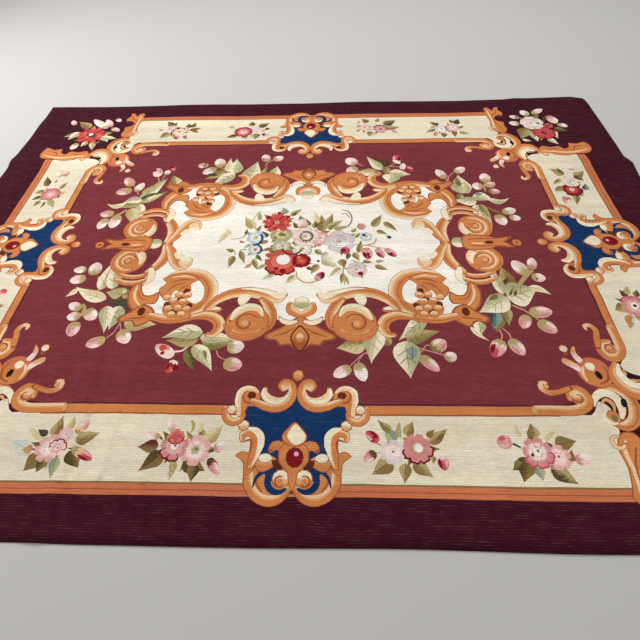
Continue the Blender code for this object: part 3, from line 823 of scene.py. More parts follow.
# Sprays on the field and bouquets on the borders, each laid out in centimetres
# stems: wool, then points with widths; leaves and buds: foot, tip, width, two wools;
# flowers: middle, turn, radius, wools
sprays = (
    {"stems": (("dusk", (34, -69, .6), (29, -70.6, .6), (25.6, -74, .5), (22.6, -77, .5)),
               ("dusk", (29, -70.6, .5), (27, -73.6, .5), (26, -76, .5)),
               ("dusk", (54, -67.6, .7), (60, -69.8, .7), (65.6, -71.6, .6)),
               ("khaki", (55, -70, .6), (58, -66, .6), (61, -68, .5))),
     "leaves": ((27, -64, 31, -67.4, 5, "moss", "slate"), (30, -65, 16.8, -67.6, 9.6, "straw", "olive"),
                (41.5, -66, 37, -60, 5, "olive", "khaki"),
                (36, -57.6, 32.3, -75.6, 9.8, "cream", "sage", -.05),
                (49, -64, 65, -58.6, 7.6, "khaki", "olive", .12),
                (59, -49.6, 45.4, -63.6, 7.6, "sage", "cream", .05),
                (48.4, -64, 48.9, -83.2, 12.4, "sage", "cream"),
                (51.4, -66.6, 50.6, -74.6, 5, "teal", "teal")),
     "buds": ((22.8, -77.6, 15.6, -82, 5.6, "sage", "blush"),
              (26.2, -75.4, 28.9, -84.3, 5.8, "khaki", "white"),
              (60.4, -68.8, 66.4, -63.4, 6.8, "khaki", "pink", "olive"),
              (65.4, -73.6, 70, -70.6, 5.2, "sage", "blush"),
              (54.4, -72.2, 61.6, -79.4, 5.4, "khaki", "pink"))},
    {"stems": (("dusk", (92, -57, .7), (92.6, -60.4, .7), (91.4, -63.4, .6)),
               ("dusk", (93.6, -56.6, .7), (96, -59.6, .7), (96, -63, .6)),
               ("khaki", (101, -43, .8), (106, -46, .8), (110, -50, .7), (112, -53, .6)),
               ("khaki", (108, -30, 2), (112, -25, 2.4), (117, -20.6, 1.4))),
     "leaves": ((98, -44.6, 97, -55.2, 5.2, "khaki", "olive"),
                (94.6, -50.6, 90.4, -58.8, 4.6, "olive", "khaki"),
                (92.6, -46.6, 89.4, -57.8, 6.8, "teal", "slate"),
                (101.4, -33, 101, -17.6, 8.6, "khaki", "bronze", -.16),
                (101.6, -31, 104, -24.4, 4.4, "moss", "bronze"),
                (98.4, -36.4, 95.8, -16.8, 5.8, "cream", "sage"),
                (100, -38.6, 84.4, -47.4, 11.6, "cream", "sage", .04),
                (95.6, -36.6, 90.4, -40.6, 3.4, "olive", "olive"),
                (100.2, -38.6, 116, -33, 15.4, "sage", "cream", .04),
                (112, -31.6, 121.8, -36.8, 4.4, "cream", "straw", .2),
                (101.4, -37.2, 104, -32.4, 1.6, "olive", "moss"),
                (103.6, -37.4, 106, -32.8, 1.6, "olive", "moss"),
                (83.4, -53, 83, -60.6, 5.8, "sage", "cream"),
                (79, -56, 86.4, -63.6, 2.4, "cream", "cream", -.3)),
     "buds": ((113.6, -23.4, 108.2, -14, 7.4, "khaki", "blush"),
              (116.8, -19.8, 118.9, -11.8, 5, "dusk", "blush"),
              (115.4, -25.2, 122, -26, 5.8, "khaki", "blush"),
              (108.4, -47.8, 119, -46.8, 6.8, "khaki", "pink"),
              (106.6, -49.2, 103, -56.6, 5.8, "khaki", "pink"),
              (111, -53, 118, -58.6, 6.6, "khaki", "pink"),
              (91.6, -63.2, 86.2, -72.2, 6.8, "blush", "rose"),
              (95.8, -62.8, 100, -71, 6.2, "sage", "pink")),
     "dots": ((117.6, -26.4, .7, "slate"),)},
    {"stems": (("dusk", (-86.6, -52, .6), (-88, -58.6, .6), (-90.6, -63, .6)),
               ("dusk", (-87.4, -52, .6), (-86, -56, .6), (-85, -59, .6)),
               ("khaki", (-109, -42, 1.2), (-107, -46, 2), (-108.6, -51, 1.2)),
               ("khaki", (-107, -24, 1), (-105, -29, 1.4), (-103.6, -34, .8))),
     "leaves": ((-84.6, -53.8, -69, -54.6, 9, "straw", "khaki"),
                (-103, -32.8, -102, -12.4, 7.6, "cream", "khaki"),
                (-97, -32.4, -101, -12.6, 7.8, "cream", "sage", -.05),
                (-98.4, -39.4, -116.6, -31, 7.4, "cream", "straw", .12),
                (-115, -32.4, -119.8, -37.6, 3.4, "cream", "straw", .1),
                (-91, -35.6, -84, -36.4, 6, "olive", "khaki"),
                (-89, -33.6, -97, -33.2, 3.6, "cream", "sage"),
                (-91, -35.8, -99.6, -34.6, 7.4, "sage", "khaki"),
                (-85.4, -41.6, -99.4, -41.4, 4.8, "slate", "moss"),
                (-88, -44, -84.6, -48.6, 3, "moss", "slate"),
                (-90, -43.6, -90.8, -58.4, 7.8, "sage", "cream"),
                (-96.4, -43.6, -93, -59.6, 7.6, "cream", "sage", .05)),
     "buds": ((-109.8, -22.6, -111.2, -13.8, 7.2, "sage", "blush"),
              (-115.4, -19, -121.8, -19.4, 4.8, "cream", "blush", "sage"),
              (-113.6, -25.4, -121.4, -26.6, 6.2, "khaki", "blush"),
              (-109.4, -45.4, -115.8, -41.8, 5.2, "khaki", "blush"),
              (-108, -49.8, -114.4, -49.8, 5.4, "khaki", "blush"),
              (-106, -46, -99.8, -51.6, 6.6, "khaki", "blush"),
              (-109.2, -53.2, -108.2, -61.4, 6.6, "khaki", "pink"),
              (-91, -63.4, -99.2, -66.6, 6.2, "khaki", "pink"),
              (-85.2, -58.4, -80.2, -65.2, 6.6, "khaki", "blush"))},
    {"stems": (("dusk", (-38, -69, .6), (-36.6, -72, .6), (-33, -74, .5)),
               ("blush", (-57, -69.6, 1), (-53.4, -69, .8), (-51, -66, .6))),
     "leaves": ((-51.6, -68.6, -46.2, -80, 5, "moss", "olive"),
                (-47.4, -62.6, -62.4, -63.4, 7.4, "khaki", "bronze", .12),
                (-45.2, -64.2, -30.4, -65, 8.4, "khaki", "olive", -.04),
                (-46.6, -62, -29, -63.4, 6.6, "cream", "sage", .08),
                (-46, -59, -64.8, -62.2, 8.2, "sage", "cream", -.2),
                (-48.8, -66.2, -38.2, -79.6, 7.4, "cream", "sage", .1),
                (-44, -69, -41.6, -74.4, 2.4, "olive", "sage")),
     "buds": ((-57.4, -72, -66.4, -66.2, 6, "cream", "pink", "blush"),
              (-55.6, -74.4, -58, -80.6, 5, "ruby", "scarlet", "blush"),
              (-33, -67.4, -25.4, -66.6, 7.2, "sage", "blush"),
              (-33.4, -75.4, -25.2, -77.2, 7, "khaki", "pink")),
     "dots": ((-62.8, -67.6, 1.8, "scarlet"), (-62.4, -70.4, 1, "ruby"), (-54.6, -78, 1.6, "ruby"))},
    {"stems": (("dusk", (31.6, 72.6, .7), (34.4, 69.4, .6)),
               ("khaki", (49.6, 68.6, .8), (53, 70.8, .8), (55.4, 72.6, .7)),
               ("khaki", (51, 69, .7), (55, 68.8, .7), (58, 68.4, .6))),
     "leaves": ((48, 69.6, 42, 80.6, 6, "bark", "moss"), (50, 69, 49, 79, 4, "moss", "bark"),
                (46, 65.6, 37.2, 80.2, 6.8, "cream", "sage"),
                (43.4, 62.8, 27.8, 62.4, 8, "cream", "khaki", -.06),
                (45, 60, 41, 65, 4, "olive", "khaki"),
                (50.4, 62.4, 63.8, 60.4, 8.4, "cream", "khaki"),
                (49, 68.4, 48.4, 59.6, 5, "khaki", "olive"),
                (52, 61, 50, 51.4, 11, "sage", "cream")),
     "buds": ((30, 71.4, 24.4, 78.4, 7.8, "pink", "cream", "dusk"),
              (30.6, 67.8, 23.8, 63.6, 6.6, "khaki", "blush"),
              (56, 73.4, 56.6, 81.6, 6, "ruby", "rose", "blush"),
              (59.6, 68, 65.6, 65, 5.6, "ruby", "rose", "blush"),
              (54, 76, 58.4, 72, 3, "blush", "cream", "blush"),
              (60.6, 72, 58, 66, 3.4, "cream", "blush", "blush"))},
    {"stems": (("khaki", (-54, 67.6, .8), (-57, 69.6, .8), (-60.4, 69, .6)),
               ("dusk", (-28.6, 70, .7), (-27.4, 74.6, .7), (-24, 77.2, .6))),
     "leaves": ((-28.6, 58.6, -27.6, 70.4, 6.4, "khaki", "moss"),
                (-22.4, 59.6, -20.6, 70.8, 7.8, "sage", "cream"),
                (-54, 66.4, -65.6, 57.4, 7.4, "khaki", "olive", .1),
                (-56.6, 60, -52, 56, 3, "moss", "olive"),
                (-47.4, 63.4, -48, 79, 9.8, "cream", "sage"),
                (-52, 65, -52.2, 80, 5.4, "straw", "cream"),
                (-39, 55.6, -33.8, 76, 11.8, "sage", "cream", -.05),
                (-47.6, 63.4, -60, 50, 9, "sage", "cream")),
     "buds": ((-57.4, 70.4, -59.8, 79.4, 7.2, "khaki", "blush"),
              (-66, 71.6, -72.4, 72.4, 5.8, "slate", "pink"),
              (-60.6, 68.8, -67.6, 63.2, 6.6, "khaki", "blush"),
              (-28, 76, -30, 83.6, 5.8, "dusk", "blush"),
              (-23.6, 77.4, -17.6, 80.8, 5.6, "khaki", "blush"),
              (-64, 62.4, -58, 61.6, 3, "moss", "slate", "moss")),
     "dots": ((-30.4, 78.8, .9, "slate"),)},
    {"stems": (("dusk", (85.6, 52, .8), (86.6, 57.6, .8), (90.6, 62.4, .6)),
               ("dusk", (85.2, 52, .7), (84.8, 56, .6)),
               ("khaki", (106.4, 43, 1), (106.4, 48, 1.2), (108, 52, .8)),
               ("bronze", (104, 29, 1), (108, 25.4, 1.6), (112.6, 22.6, 1))),
     "leaves": ((92.6, 41.6, 92.6, 59.6, 12.6, "sage", "cream"),
                (95.4, 41.4, 95.8, 53, 5.2, "straw", "sage"), (92, 48, 91, 57.4, 3.6, "olive", "olive"),
                (88.4, 32.6, 84.8, 39.4, 5, "khaki", "bronze"),
                (90, 37, 91.4, 42, 4.6, "olive", "sage"), (99.2, 33.6, 86.2, 35.2, 8, "cream", "sage"),
                (97.6, 30.8, 104.2, 12, 8.8, "sage", "cream", .04),
                (101, 31, 104, 20, 4.6, "khaki", "olive"),
                (97.6, 38.6, 109.6, 34, 8, "cream", "sage", .2),
                (106, 36, 118.8, 37, 5, "cream", "sage", -.66),
                (99.4, 40.6, 104.6, 40.6, 3, "teal", "teal")),
     "buds": ((84.4, 56.4, 80, 65.2, 5.8, "dusk", "blush"),
              (91.6, 62, 97.8, 67.4, 5.8, "pink", "blush"),
              (108, 52, 108.8, 60.6, 6.8, "khaki", "blush"),
              (105.4, 47.8, 99.2, 48.6, 7, "dusk", "blush"),
              (107.8, 48, 113.4, 51.2, 5.2, "khaki", "pink"),
              (108.2, 43.4, 114.8, 42.6, 5, "khaki", "pink", "bronze"),
              (112.6, 23.6, 119.8, 26.8, 5.8, "khaki", "blush"),
              (109, 21.8, 110.8, 13.2, 6.6, "khaki", "blush"),
              (115.2, 19.6, 121, 18.8, 4.8, "khaki", "white"))},
    {"stems": (("khaki", (-96.4, 62, .8), (-94.6, 57, .8), (-92.8, 52, .6)),
               ("khaki", (-91.8, 63.4, .7), (-92.6, 58, .7)),
               ("dusk", (-110.4, 54, .7), (-107, 48, .7), (-104, 43, .6)),
               ("khaki", (-107, 29, 1), (-110.4, 25.4, 1.8), (-113, 23.6, 1))),
     "leaves": ((-101, 42.4, -95, 54.4, 6.2, "khaki", "bronze"),
                (-95, 50.6, -90.4, 58.6, 4.6, "khaki", "olive"),
                (-82, 51.4, -86.6, 62.2, 8.4, "olive", "straw"),
                (-102, 38, -89.4, 58.8, 7.4, "sage", "cream", -.1),
                (-102, 36.6, -85.8, 46.4, 7.8, "moss", "sage"),
                (-97, 38, -89.4, 44, 3.4, "cream", "sage"),
                (-100.4, 34.6, -97.4, 15.2, 6.8, "cream", "sage"),
                (-104.4, 30.6, -100.8, 16.6, 7.6, "straw", "khaki"),
                (-100.2, 36, -113.6, 31, 6.4, "khaki", "olive"),
                (-100.6, 38.2, -112, 34, 6.8, "cream", "taupe", -.3),
                (-109.6, 34.4, -121, 34.8, 4.4, "straw", "cream", .55)),
     "buds": ((-110.8, 52, -116.2, 60.2, 6.4, "khaki", "pink"),
              (-106.6, 46.4, -103.8, 54.8, 5.2, "blush", "blush"),
              (-109.6, 47.2, -118.8, 45.6, 6.8, "khaki", "pink"),
              (-114.2, 25.6, -122, 25.2, 5.8, "khaki", "pink"),
              (-111, 24, -111.6, 13, 7, "khaki", "blush"),
              (-117, 21.2, -119, 12.4, 5.8, "khaki", "blush"),
              (-96.6, 61.4, -98.4, 70, 6.2, "blush", "pink", "blush"),
              (-91.4, 63, -90.6, 67.6, 4, "pink", "blush"),
              (-88.6, 66.6, -87, 71, 4, "ruby", "rose", "ruby")),
     "dots": ((-99.8, 67.6, 1.4, "ruby"), (-89.4, 70.6, 1.6, "ruby"), (-87.6, 68, 1.4, "coral"))},
)
bouquets = (
    {"stems": (("slate", (-104, -115.2, .8), (-101.6, -115.2, .4)),
               ("bark", (-89, -115, .4), (-86, -115.4, .8))),
     "leaves": ((-105.6, -115.2, -114, -111.6, 5.6, "mist", "mist"),
                (-104, -116.6, -111, -116.8, 3.4, "mist", "linen"),
                (-97.4, -110, -96, -101.2, 5.4, "khaki", "bronze"),
                (-100.6, -110.6, -109.4, -105.6, 4.6, "straw", "linen"),
                (-100, -109.4, -104.8, -107, 3, "slate", "moss"),
                (-103.6, -115.2, -107.8, -115.4, 3.8, "khaki", "amber"),
                (-99.4, -117.4, -103.8, -123.8, 7.4, "olive", "bronze"),
                (-97, -119.6, -98.6, -124.2, 4.6, "olive", "moss"),
                (-92.4, -118.4, -92, -127, 4.4, "sage", "teal"),
                (-88.2, -116.2, -82.4, -122.6, 6.2, "bronze", "moss"),
                (-87.2, -111.8, -78.4, -108.4, 5.6, "khaki", "bronze"),
                (-91.6, -107.6, -91, -101.2, 3.8, "straw", "khaki")),
     "buds": ((-87.2, -114.8, -78.4, -119.4, 3.8, "peach", "rose"),
              (-87.8, -108.8, -84.8, -102.8, 4, "peach", "pink")),
     "blooms": ((-92.2, -109.4, 0, 3.4, "lilac", "pink", "blush"),
                (-97, -114.8, 20, 5.8, "blush", "pink", "white", "rose", 7, (300, 360)),
                (-93.6, -115, 0, 3.6, "pink", "blush", "blush", "ruby", 6, (0, 150)))},
    {"stems": (("khaki", (-42.4, -102.6, .8), (-41, -105, 1.4), (-41.6, -108, .5)),
               ("slate", (-33.6, -114.8, .9), (-30.6, -114.6, .7)),
               ("moss", (-54.4, -109.4, .9), (-52.6, -111, .6)),
               ("moss", (-50.2, -106.4, .9), (-48.8, -108, .6))),
     "leaves": ((-53.6, -113.6, -62, -114, 5.8, "bronze", "bark"),
                (-51, -116.4, -59.2, -123.6, 6.8, "bronze", "moss"),
                (-47.4, -119, -46.4, -127, 5.4, "khaki", "linen"),
                (-42.4, -119.4, -33.4, -123, 7, "bronze", "moss"),
                (-38, -120.6, -38.2, -127.2, 4.8, "moss", "bronze"),
                (-35.2, -112, -29, -104.4, 5.4, "straw", "khaki"),
                (-36.6, -109.4, -38.2, -105.6, 3, "olive", "khaki"),
                (-39, -108, -38.6, -102.6, 3.4, "linen", "straw")),
     "buds": ((-49.4, -107.4, -51.2, -102, 3.2, "pink", "blush", "sage"),
              (-54, -110, -60, -108.6, 3.2, "pink", "blush"),
              (-31, -114.6, -26.6, -112.4, 4.4, "pink", "blush", "dusk"),
              (-32.6, -118.4, -28, -124.4, 3.8, "ruby", "pink", "moss")),
     "blooms": ((-38.6, -115, 10, 6.4, "blush", "pink", "sage"),
                (-47.2, -113.6, 0, 5.8, "pink", "dusk", "white", "ruby", 7, (200, 320)),
                (-47.2, -109.4, 0, 3.2, "rose", "coral", "rose", "ruby", 5, (180, 360)))},
    {"stems": (("khaki", (31.6, -111, .8), (36.6, -113.6, .5)),
               ("khaki", (31, -115.4, .7), (35, -115.2, .5))),
     "leaves": ((40, -110.6, 35.8, -104.6, 5, "sage", "teal"),
                (38.6, -107, 33.2, -101.8, 3.4, "olive", "khaki"),
                (42.2, -109.6, 42, -102.2, 4, "khaki", "linen"),
                (44.4, -108.6, 47.6, -102.2, 4.6, "khaki", "bronze"),
                (53.4, -111.6, 61, -105.2, 4.6, "khaki", "bronze"),
                (52.6, -109, 55.8, -105.8, 2.8, "bronze", "bronze"),
                (38, -118.4, 30, -124, 6.6, "bronze", "khaki"),
                (43, -119.4, 42, -127, 4.8, "bronze", "khaki"),
                (46, -119, 53.2, -124.6, 5.6, "khaki", "bronze"),
                (54, -116.6, 53.6, -119.6, 2, "bronze", "khaki")),
     "buds": ((33.2, -110.8, 28.6, -106.8, 4.2, "ruby", "rose", "rose"),
              (31.8, -115.2, 27.2, -118.8, 4.2, "ruby", "pink", "moss"),
              (57, -115.2, 57.6, -122, 4.4, "blush", "rose", "blush")),
     "blooms": ((38.4, -115, 0, 5, "blush", "lilac", "blush"),
                (48.2, -113.4, 15, 5.9, "rose", "dusk", "white", "ruby", 8, (180, 360)),
                (48.2, -113.4, 40, 5.2, "coral", "dusk", "sage", None, 5)),
     "dots": ((48.4, -113.4, 2.4, "sage"), (48.6, -113.4, 1.8, "white"))},
    {"stems": (("slate", (85, -111.2, 1), (87.8, -112.8, .8)),
               ("slate", (104, -116.8, 1), (106.4, -117.4, .6))),
     "leaves": ((89.2, -108.6, 87.6, -102.8, 3.4, "straw", "linen"),
                (94.6, -109, 94, -102.8, 5, "bronze", "khaki"),
                (98.4, -110.6, 103.4, -105.6, 3.4, "straw", "linen"),
                (101.4, -111.6, 110, -110.2, 6, "olive", "bronze"),
                (89.6, -116.6, 85.8, -125.8, 7.6, "bronze", "moss"),
                (87, -118.6, 82.8, -121.4, 4, "moss", "olive"),
                (97.4, -120.4, 105.6, -126.4, 6.4, "khaki", "moss"),
                (92.6, -120.4, 93, -125.2, 3.8, "sage", "teal"),
                (105.4, -117.6, 107, -113.4, 2.8, "clay", "bronze")),
     "buds": ((84.6, -110.6, 79, -110.6, 5.6, "pink", "dusk", "dusk"),
              (107.4, -117.6, 113.6, -116.8, 4.6, "pink", "blush", "dusk")),
     "blooms": ((101, -116.4, 0, 5.2, "blush", "pink", "blush"),
                (93.8, -114.4, 8, 6, "blush", "dusk", "white", "rose", 7, (200, 360))),
     "dots": ((91.6, -115.6, .7, "plum"),)},
    {"leaves": ((-98.6, 119, -104.6, 126, 5.6, "olive", "moss"),
                (-99, 119.6, -97, 124.4, 3, "bronze", "moss"),
                (-105, 114.6, -109.6, 116.8, 3.4, "khaki", "linen"),
                (-100, 110.8, -106, 104.2, 6.6, "khaki", "olive"),
                (-98, 113.2, -98, 106.4, 2.8, "bark", "moss"),
                (-87, 117.4, -89, 123, 5, "bronze", "moss"),
                (-85, 118, -83.4, 124.4, 3.8, "moss", "olive"),
                (-86.4, 114, -77.8, 117.4, 4, "bronze", "clay"),
                (-84, 113.6, -79, 111, 2.8, "bronze", "clay"),
                (-88.6, 107.6, -86.4, 102.8, 3.4, "taupe", "olive")),
     "buds": ((-87.6, 113.4, -90, 118.4, 3, "blush", "pink"),
              (-95, 107.6, -92.6, 103, 4, "dusk", "rose")),
     "blooms": ((-99, 117, 0, 3.6, "lilac", "pink", "white"),
                (-93.2, 112, 0, 5.2, "blush", "peach", "pink", "bark", 6, (60, 200))),
     "dots": ((-95, 117, 1.4, "bark"),)},
    {"leaves": ((-51.4, 107.6, -59.2, 104.2, 4.4, "olive", "moss"),
                (-42.4, 119, -43, 124.8, 5, "olive", "moss"),
                (-37.4, 117.4, -29.8, 122, 5.6, "bronze", "moss"),
                (-39, 109, -38.4, 101.8, 7, "olive", "sage"),
                (-45.6, 107, -45, 102, 3.4, "khaki", "bronze"),
                (-32.6, 115, -28.6, 114, 2.8, "moss", "bark"),
                (-55, 117.6, -59.4, 118.4, 2.8, "khaki", "taupe")),
     "buds": ((-34, 113, -30.6, 109.6, 3.8, "pink", "blush"),
              (-34.2, 108, -29, 106.6, 3.4, "plum", "pink", "plum")),
     "blooms": ((-40, 114, 0, 4, "blush", "lilac", "blush"),
                (-47.6, 111.4, 10, 5.8, "pink", "rose", "blush", "ruby", 7, (0, 360)))},
    {"leaves": ((51, 117.8, 59.4, 123.8, 7, "olive", "moss"),
                (40, 121, 35.6, 126, 4.8, "bronze", "clay"),
                (52.8, 113, 61.8, 115.2, 5.2, "khaki", "bronze"),
                (42, 110, 39.8, 103.4, 5.6, "sage", "olive"),
                (45.6, 122, 48, 126.4, 3.4, "khaki", "bronze"),
                (33.6, 110.4, 31, 112, 2.8, "taupe", "olive"),
                (56, 110.4, 60, 107.6, 2.8, "taupe", "khaki")),
     "buds": ((33.4, 116, 29.8, 118, 3.4, "khaki", "blush"), (34, 121, 30.6, 124, 3, "taupe", "blush")),
     "blooms": ((42.6, 114, 0, 4, "sage", "blush", "white"),
                (37.2, 114.8, 0, 4.6, "blush", "pink", "pink"),
                (48.2, 112.6, 10, 5, "pink", "dusk", "rose", "plum", 7, (0, 120)))},
    {"leaves": ((100.6, 117.6, 103.8, 124, 5.4, "moss", "slate"),
                (99.6, 119, 96.8, 123.4, 3.4, "moss", "olive"),
                (88.4, 116.6, 82.4, 121, 3.6, "moss", "bronze"),
                (87, 116, 88.8, 120, 2.6, "slate", "moss"),
                (85.6, 111.6, 78.6, 107.4, 3.8, "bronze", "taupe"),
                (91, 106.6, 90.4, 100.8, 4.8, "olive", "bronze"),
                (98.4, 109.6, 98, 101.2, 4, "bronze", "clay"),
                (102, 108.6, 108.8, 104.8, 5, "straw", "olive"),
                (103, 113.6, 106.4, 115, 2.6, "dusk", "bronze")),
     "buds": ((85.6, 113.6, 80.6, 117.4, 4, "khaki", "blush"),
              (86, 108, 84.4, 102.6, 3.2, "khaki", "dusk")),
     "blooms": ((90, 111.4, 0, 4.4, "white", "lilac", "mist"),
                (98, 113, 10, 5, "blush", "pink", "white", "plum", 7, (120, 240)))},
    {"leaves": ((-164.6, 52, -168.6, 62.2, 5, "bronze", "moss"),
                (-164.4, 47, -170.4, 45.2, 4.2, "khaki", "olive"),
                (-164.4, 42, -169.8, 38.4, 3.4, "olive", "moss"),
                (-156.6, 49.4, -152.2, 56, 3.8, "khaki", "bronze"),
                (-153.6, 45, -149.8, 46.4, 3.4, "straw", "khaki"),
                (-158, 38.6, -152.2, 31.2, 4.4, "khaki", "sage"),
                (-163, 37.6, -165.8, 32.6, 3.8, "khaki", "bronze"),
                (-159.6, 37, -160.6, 30.6, 1.8, "moss", "olive"),
                (-154.6, 43, -152.6, 40, 2.2, "moss", "olive")),
     "buds": ((-159, 62.4, -163.4, 67.6, 5, "peach", "blush"),
              (-157.6, 62.2, -156.2, 67.4, 3.8, "rose", "pink")),
     "blooms": ((-159.8, 52, 0, 4.6, "cream", "blush", "white"),
                (-159.2, 44, 10, 5.4, "pink", "dusk", "white", "rose", 7, (0, 360)))},
    {"leaves": ((157, 58.4, 149.8, 65.4, 6.4, "khaki", "bronze"),
                (157.2, 60, 154.6, 66.6, 2.4, "moss", "olive"),
                (163, 56.4, 170.4, 62.2, 6, "khaki", "olive"),
                (163.4, 58, 167.2, 52.2, 4.8, "bronze", "moss"),
                (153.6, 54, 147.8, 49.2, 3.4, "khaki", "bronze"),
                (152.6, 46, 146.8, 42.4, 4.8, "khaki", "bronze"),
                (165.4, 43.4, 167.2, 49.8, 4, "slate", "teal"),
                (158.4, 39.6, 155.8, 30, 4.4, "bronze", "khaki"),
                (162.4, 42, 160.6, 36.6, 3, "sage", "khaki")),
     "buds": ((152.8, 38, 149.8, 31.2, 4.8, "ruby", "pink", "pink"),
              (163, 63.2, 164.8, 68, 4, "pink", "blush")),
     "blooms": ((157.6, 44.2, 20, 5.8, "scarlet", "ruby", "blush", "plum", 7, (180, 360)),),
     "roses": ((159.2, 51.6, 0, 4.9, "cream", "blush", "taupe"),)},
    {"leaves": ((-157.4, -38, -155, -33.8, 3.4, "moss", "bark"),
                (-154, -44, -148.6, -43, 5, "khaki", "bronze"),
                (-157, -50, -151, -57, 5, "khaki", "olive"),
                (-161.6, -38, -164, -33.6, 3.4, "bronze", "moss"),
                (-164.6, -47, -169.8, -44.6, 4.4, "khaki", "bronze"),
                (-163, -52, -167.6, -58.6, 4.4, "olive", "moss")),
     "buds": ((-152.6, -32.6, -155.2, -38.6, 4.4, "scarlet", "pink", "rose"),
              (-159, -56, -158, -62, 4, "pink", "blush")),
     "blooms": ((-159.4, -44.6, 20, 5.6, "pink", "rose", "white", "plum", 7, (180, 360)),),
     "roses": ((-160.6, -51.4, 0, 4.4, "cream", "blush", "taupe"),)},
    {"leaves": ((157.6, -38, 155, -33.6, 3.6, "moss", "bark"),
                (154.2, -44, 148.4, -46.4, 6, "khaki", "bronze"),
                (154.6, -49, 151.4, -57, 5, "khaki", "amber"),
                (161.6, -38, 163.8, -33.4, 3.4, "olive", "moss"),
                (158, -36.6, 160, -31, 3.6, "khaki", "sage"),
                (164.6, -46, 169.6, -43.4, 4.4, "khaki", "bronze"),
                (162.4, -51.6, 166.4, -58, 4.4, "olive", "bronze")),
     "buds": ((157.4, -51, 154.4, -53.4, 3, "cream", "blush"),
              (160, -55, 160.6, -61.6, 4.2, "blush", "pink")),
     "blooms": ((158.4, -44, 0, 6.2, "pink", "dusk", "white", "rose", 7, (0, 120)),),
     "dots": ((158.6, -43.6, 1.9, "white"), (158.7, -43.6, .9, "bark"))},
    {"leaves": ((-160, 119.4, -170.8, 128, 7.6, "bronze", "khaki"),
                (-168, 112, -175.4, 107.8, 5.4, "khaki", "olive"),
                (-166, 114, -171, 104, 6.6, "sage", "cream"),
                (-148, 109, -141.6, 101, 6.6, "cream", "sage"),
                (-147, 112.4, -141.2, 113, 5.4, "moss", "sage"),
                (-146, 106.6, -136.4, 105, 4.6, "cream", "sage"),
                (-156, 101.6, -158.8, 95.4, 4.6, "khaki", "cream"),
                (-152, 101.6, -149.6, 91, 4.8, "khaki", "straw"),
                (-147.6, 102, -151, 99, 3, "olive", "moss")),
     "buds": ((-147.6, 118.8, -160.6, 130.6, 6, "cream", "blush", "sage"),
              (-145, 120.6, -150.8, 130.6, 5, "pink", "blush", "dusk"),
              (-172.6, 123.6, -176.4, 129.6, 4, "khaki", "blush"),
              (-143.6, 118.6, -137.2, 114.4, 4.4, "cream", "pink"),
              (-143.8, 131.4, -140.2, 127.2, 3.8, "pink", "blush"),
              (-162.4, 99.6, -164.2, 92.2, 5, "khaki", "blush")),
     "ruffles": ((-156, 110, 0, 10.2, "scarlet", "ruby", "sage"),),
     "dots": ((-155, 109, 2.6, "slate"), (-156.4, 110.6, 1.6, "white"))},
    {"leaves": ((147.6, 111, 141.6, 98.6, 9.6, "khaki", "bronze"),
                (151, 107, 151.6, 95, 6.4, "cream", "sage"),
                (164.4, 108, 165.6, 98.4, 5, "cream", "khaki"),
                (159, 99, 164, 91.6, 4.8, "cream", "sage"),
                (166.4, 110.6, 174.4, 107, 5.4, "olive", "moss"),
                (156, 124, 161, 130, 5.4, "moss", "olive"),
                (142, 97.4, 147.4, 95.8, 3, "cream", "straw"),
                (163, 121, 165.4, 126, 3, "moss", "bark")),
     "buds": ((157, 129, 165.4, 134, 4.8, "sage", "blush"),
              (153.6, 127, 149.4, 132.4, 6, "sage", "white", "sage"),
              (167, 125.4, 170, 116.6, 6.8, "dusk", "blush", "dusk"),
              (170.4, 115.6, 176, 112.2, 4, "khaki", "blush"),
              (144.4, 116.4, 138, 118.4, 5.4, "peach", "blush"),
              (146, 124, 140.2, 126.4, 4.2, "clay", "blush")),
     "blooms": ((163.6, 114, 0, 3.4, "clay", "rose", "burgundy"),
                (158.4, 105.6, 0, 7.2, "rose", "scarlet", "ruby", "ruby", 8, (0, 360))),
     "roses": ((153.4, 117.4, 0, 8, "white", "blush", "taupe"),),
     "dots": ((157.4, 117.4, 1.3, "slate"), (157.2, 118.2, .7, "lilac"))},
    {"leaves": ((-166, -101, -172, -94, 6.4, "sage", "cream"),
                (-147, -103, -140, -99, 6, "cream", "sage"),
                (-161, -116, -168, -123.6, 6.8, "bronze", "khaki"),
                (-150, -115, -145, -123, 5.4, "sage", "khaki"),
                (-152, -98, -148, -92, 5, "khaki", "straw")),
     "buds": ((-160, -97, -164, -90.6, 5, "khaki", "blush"),
              (-168.6, -111, -175, -113.6, 4.6, "khaki", "pink"),
              (-145, -109.6, -139, -112, 4.6, "cream", "blush"),
              (-155, -119.6, -156.6, -127, 4.8, "sage", "blush")),
     "ruffles": ((-156.4, -107.6, 0, 9.6, "scarlet", "ruby", "sage"),),
     "dots": ((-156, -107.6, 2.2, "slate"), (-156.8, -106.8, 1.4, "white"))},
    {"leaves": ((166, -101, 172.4, -95, 6.4, "sage", "cream"),
                (147, -103, 140.6, -98, 6.6, "khaki", "bronze"),
                (161, -117, 167.6, -124, 6.8, "bronze", "khaki"),
                (150, -115, 144.6, -122, 5.4, "sage", "khaki"),
                (153, -98, 149.4, -91.4, 5, "cream", "sage")),
     "buds": ((160, -97, 163.4, -90, 5, "khaki", "blush"),
              (168.6, -111, 175, -113.6, 4.6, "khaki", "pink"),
              (145, -109.6, 139, -112, 4.6, "cream", "blush"),
              (155, -119.6, 156.6, -127, 4.8, "sage", "blush")),
     "blooms": ((158.6, -101.6, 0, 6.6, "rose", "scarlet", "ruby", "ruby", 8, (0, 360)),),
     "roses": ((155, -110.6, 0, 7.6, "white", "blush", "taupe"),)},
)
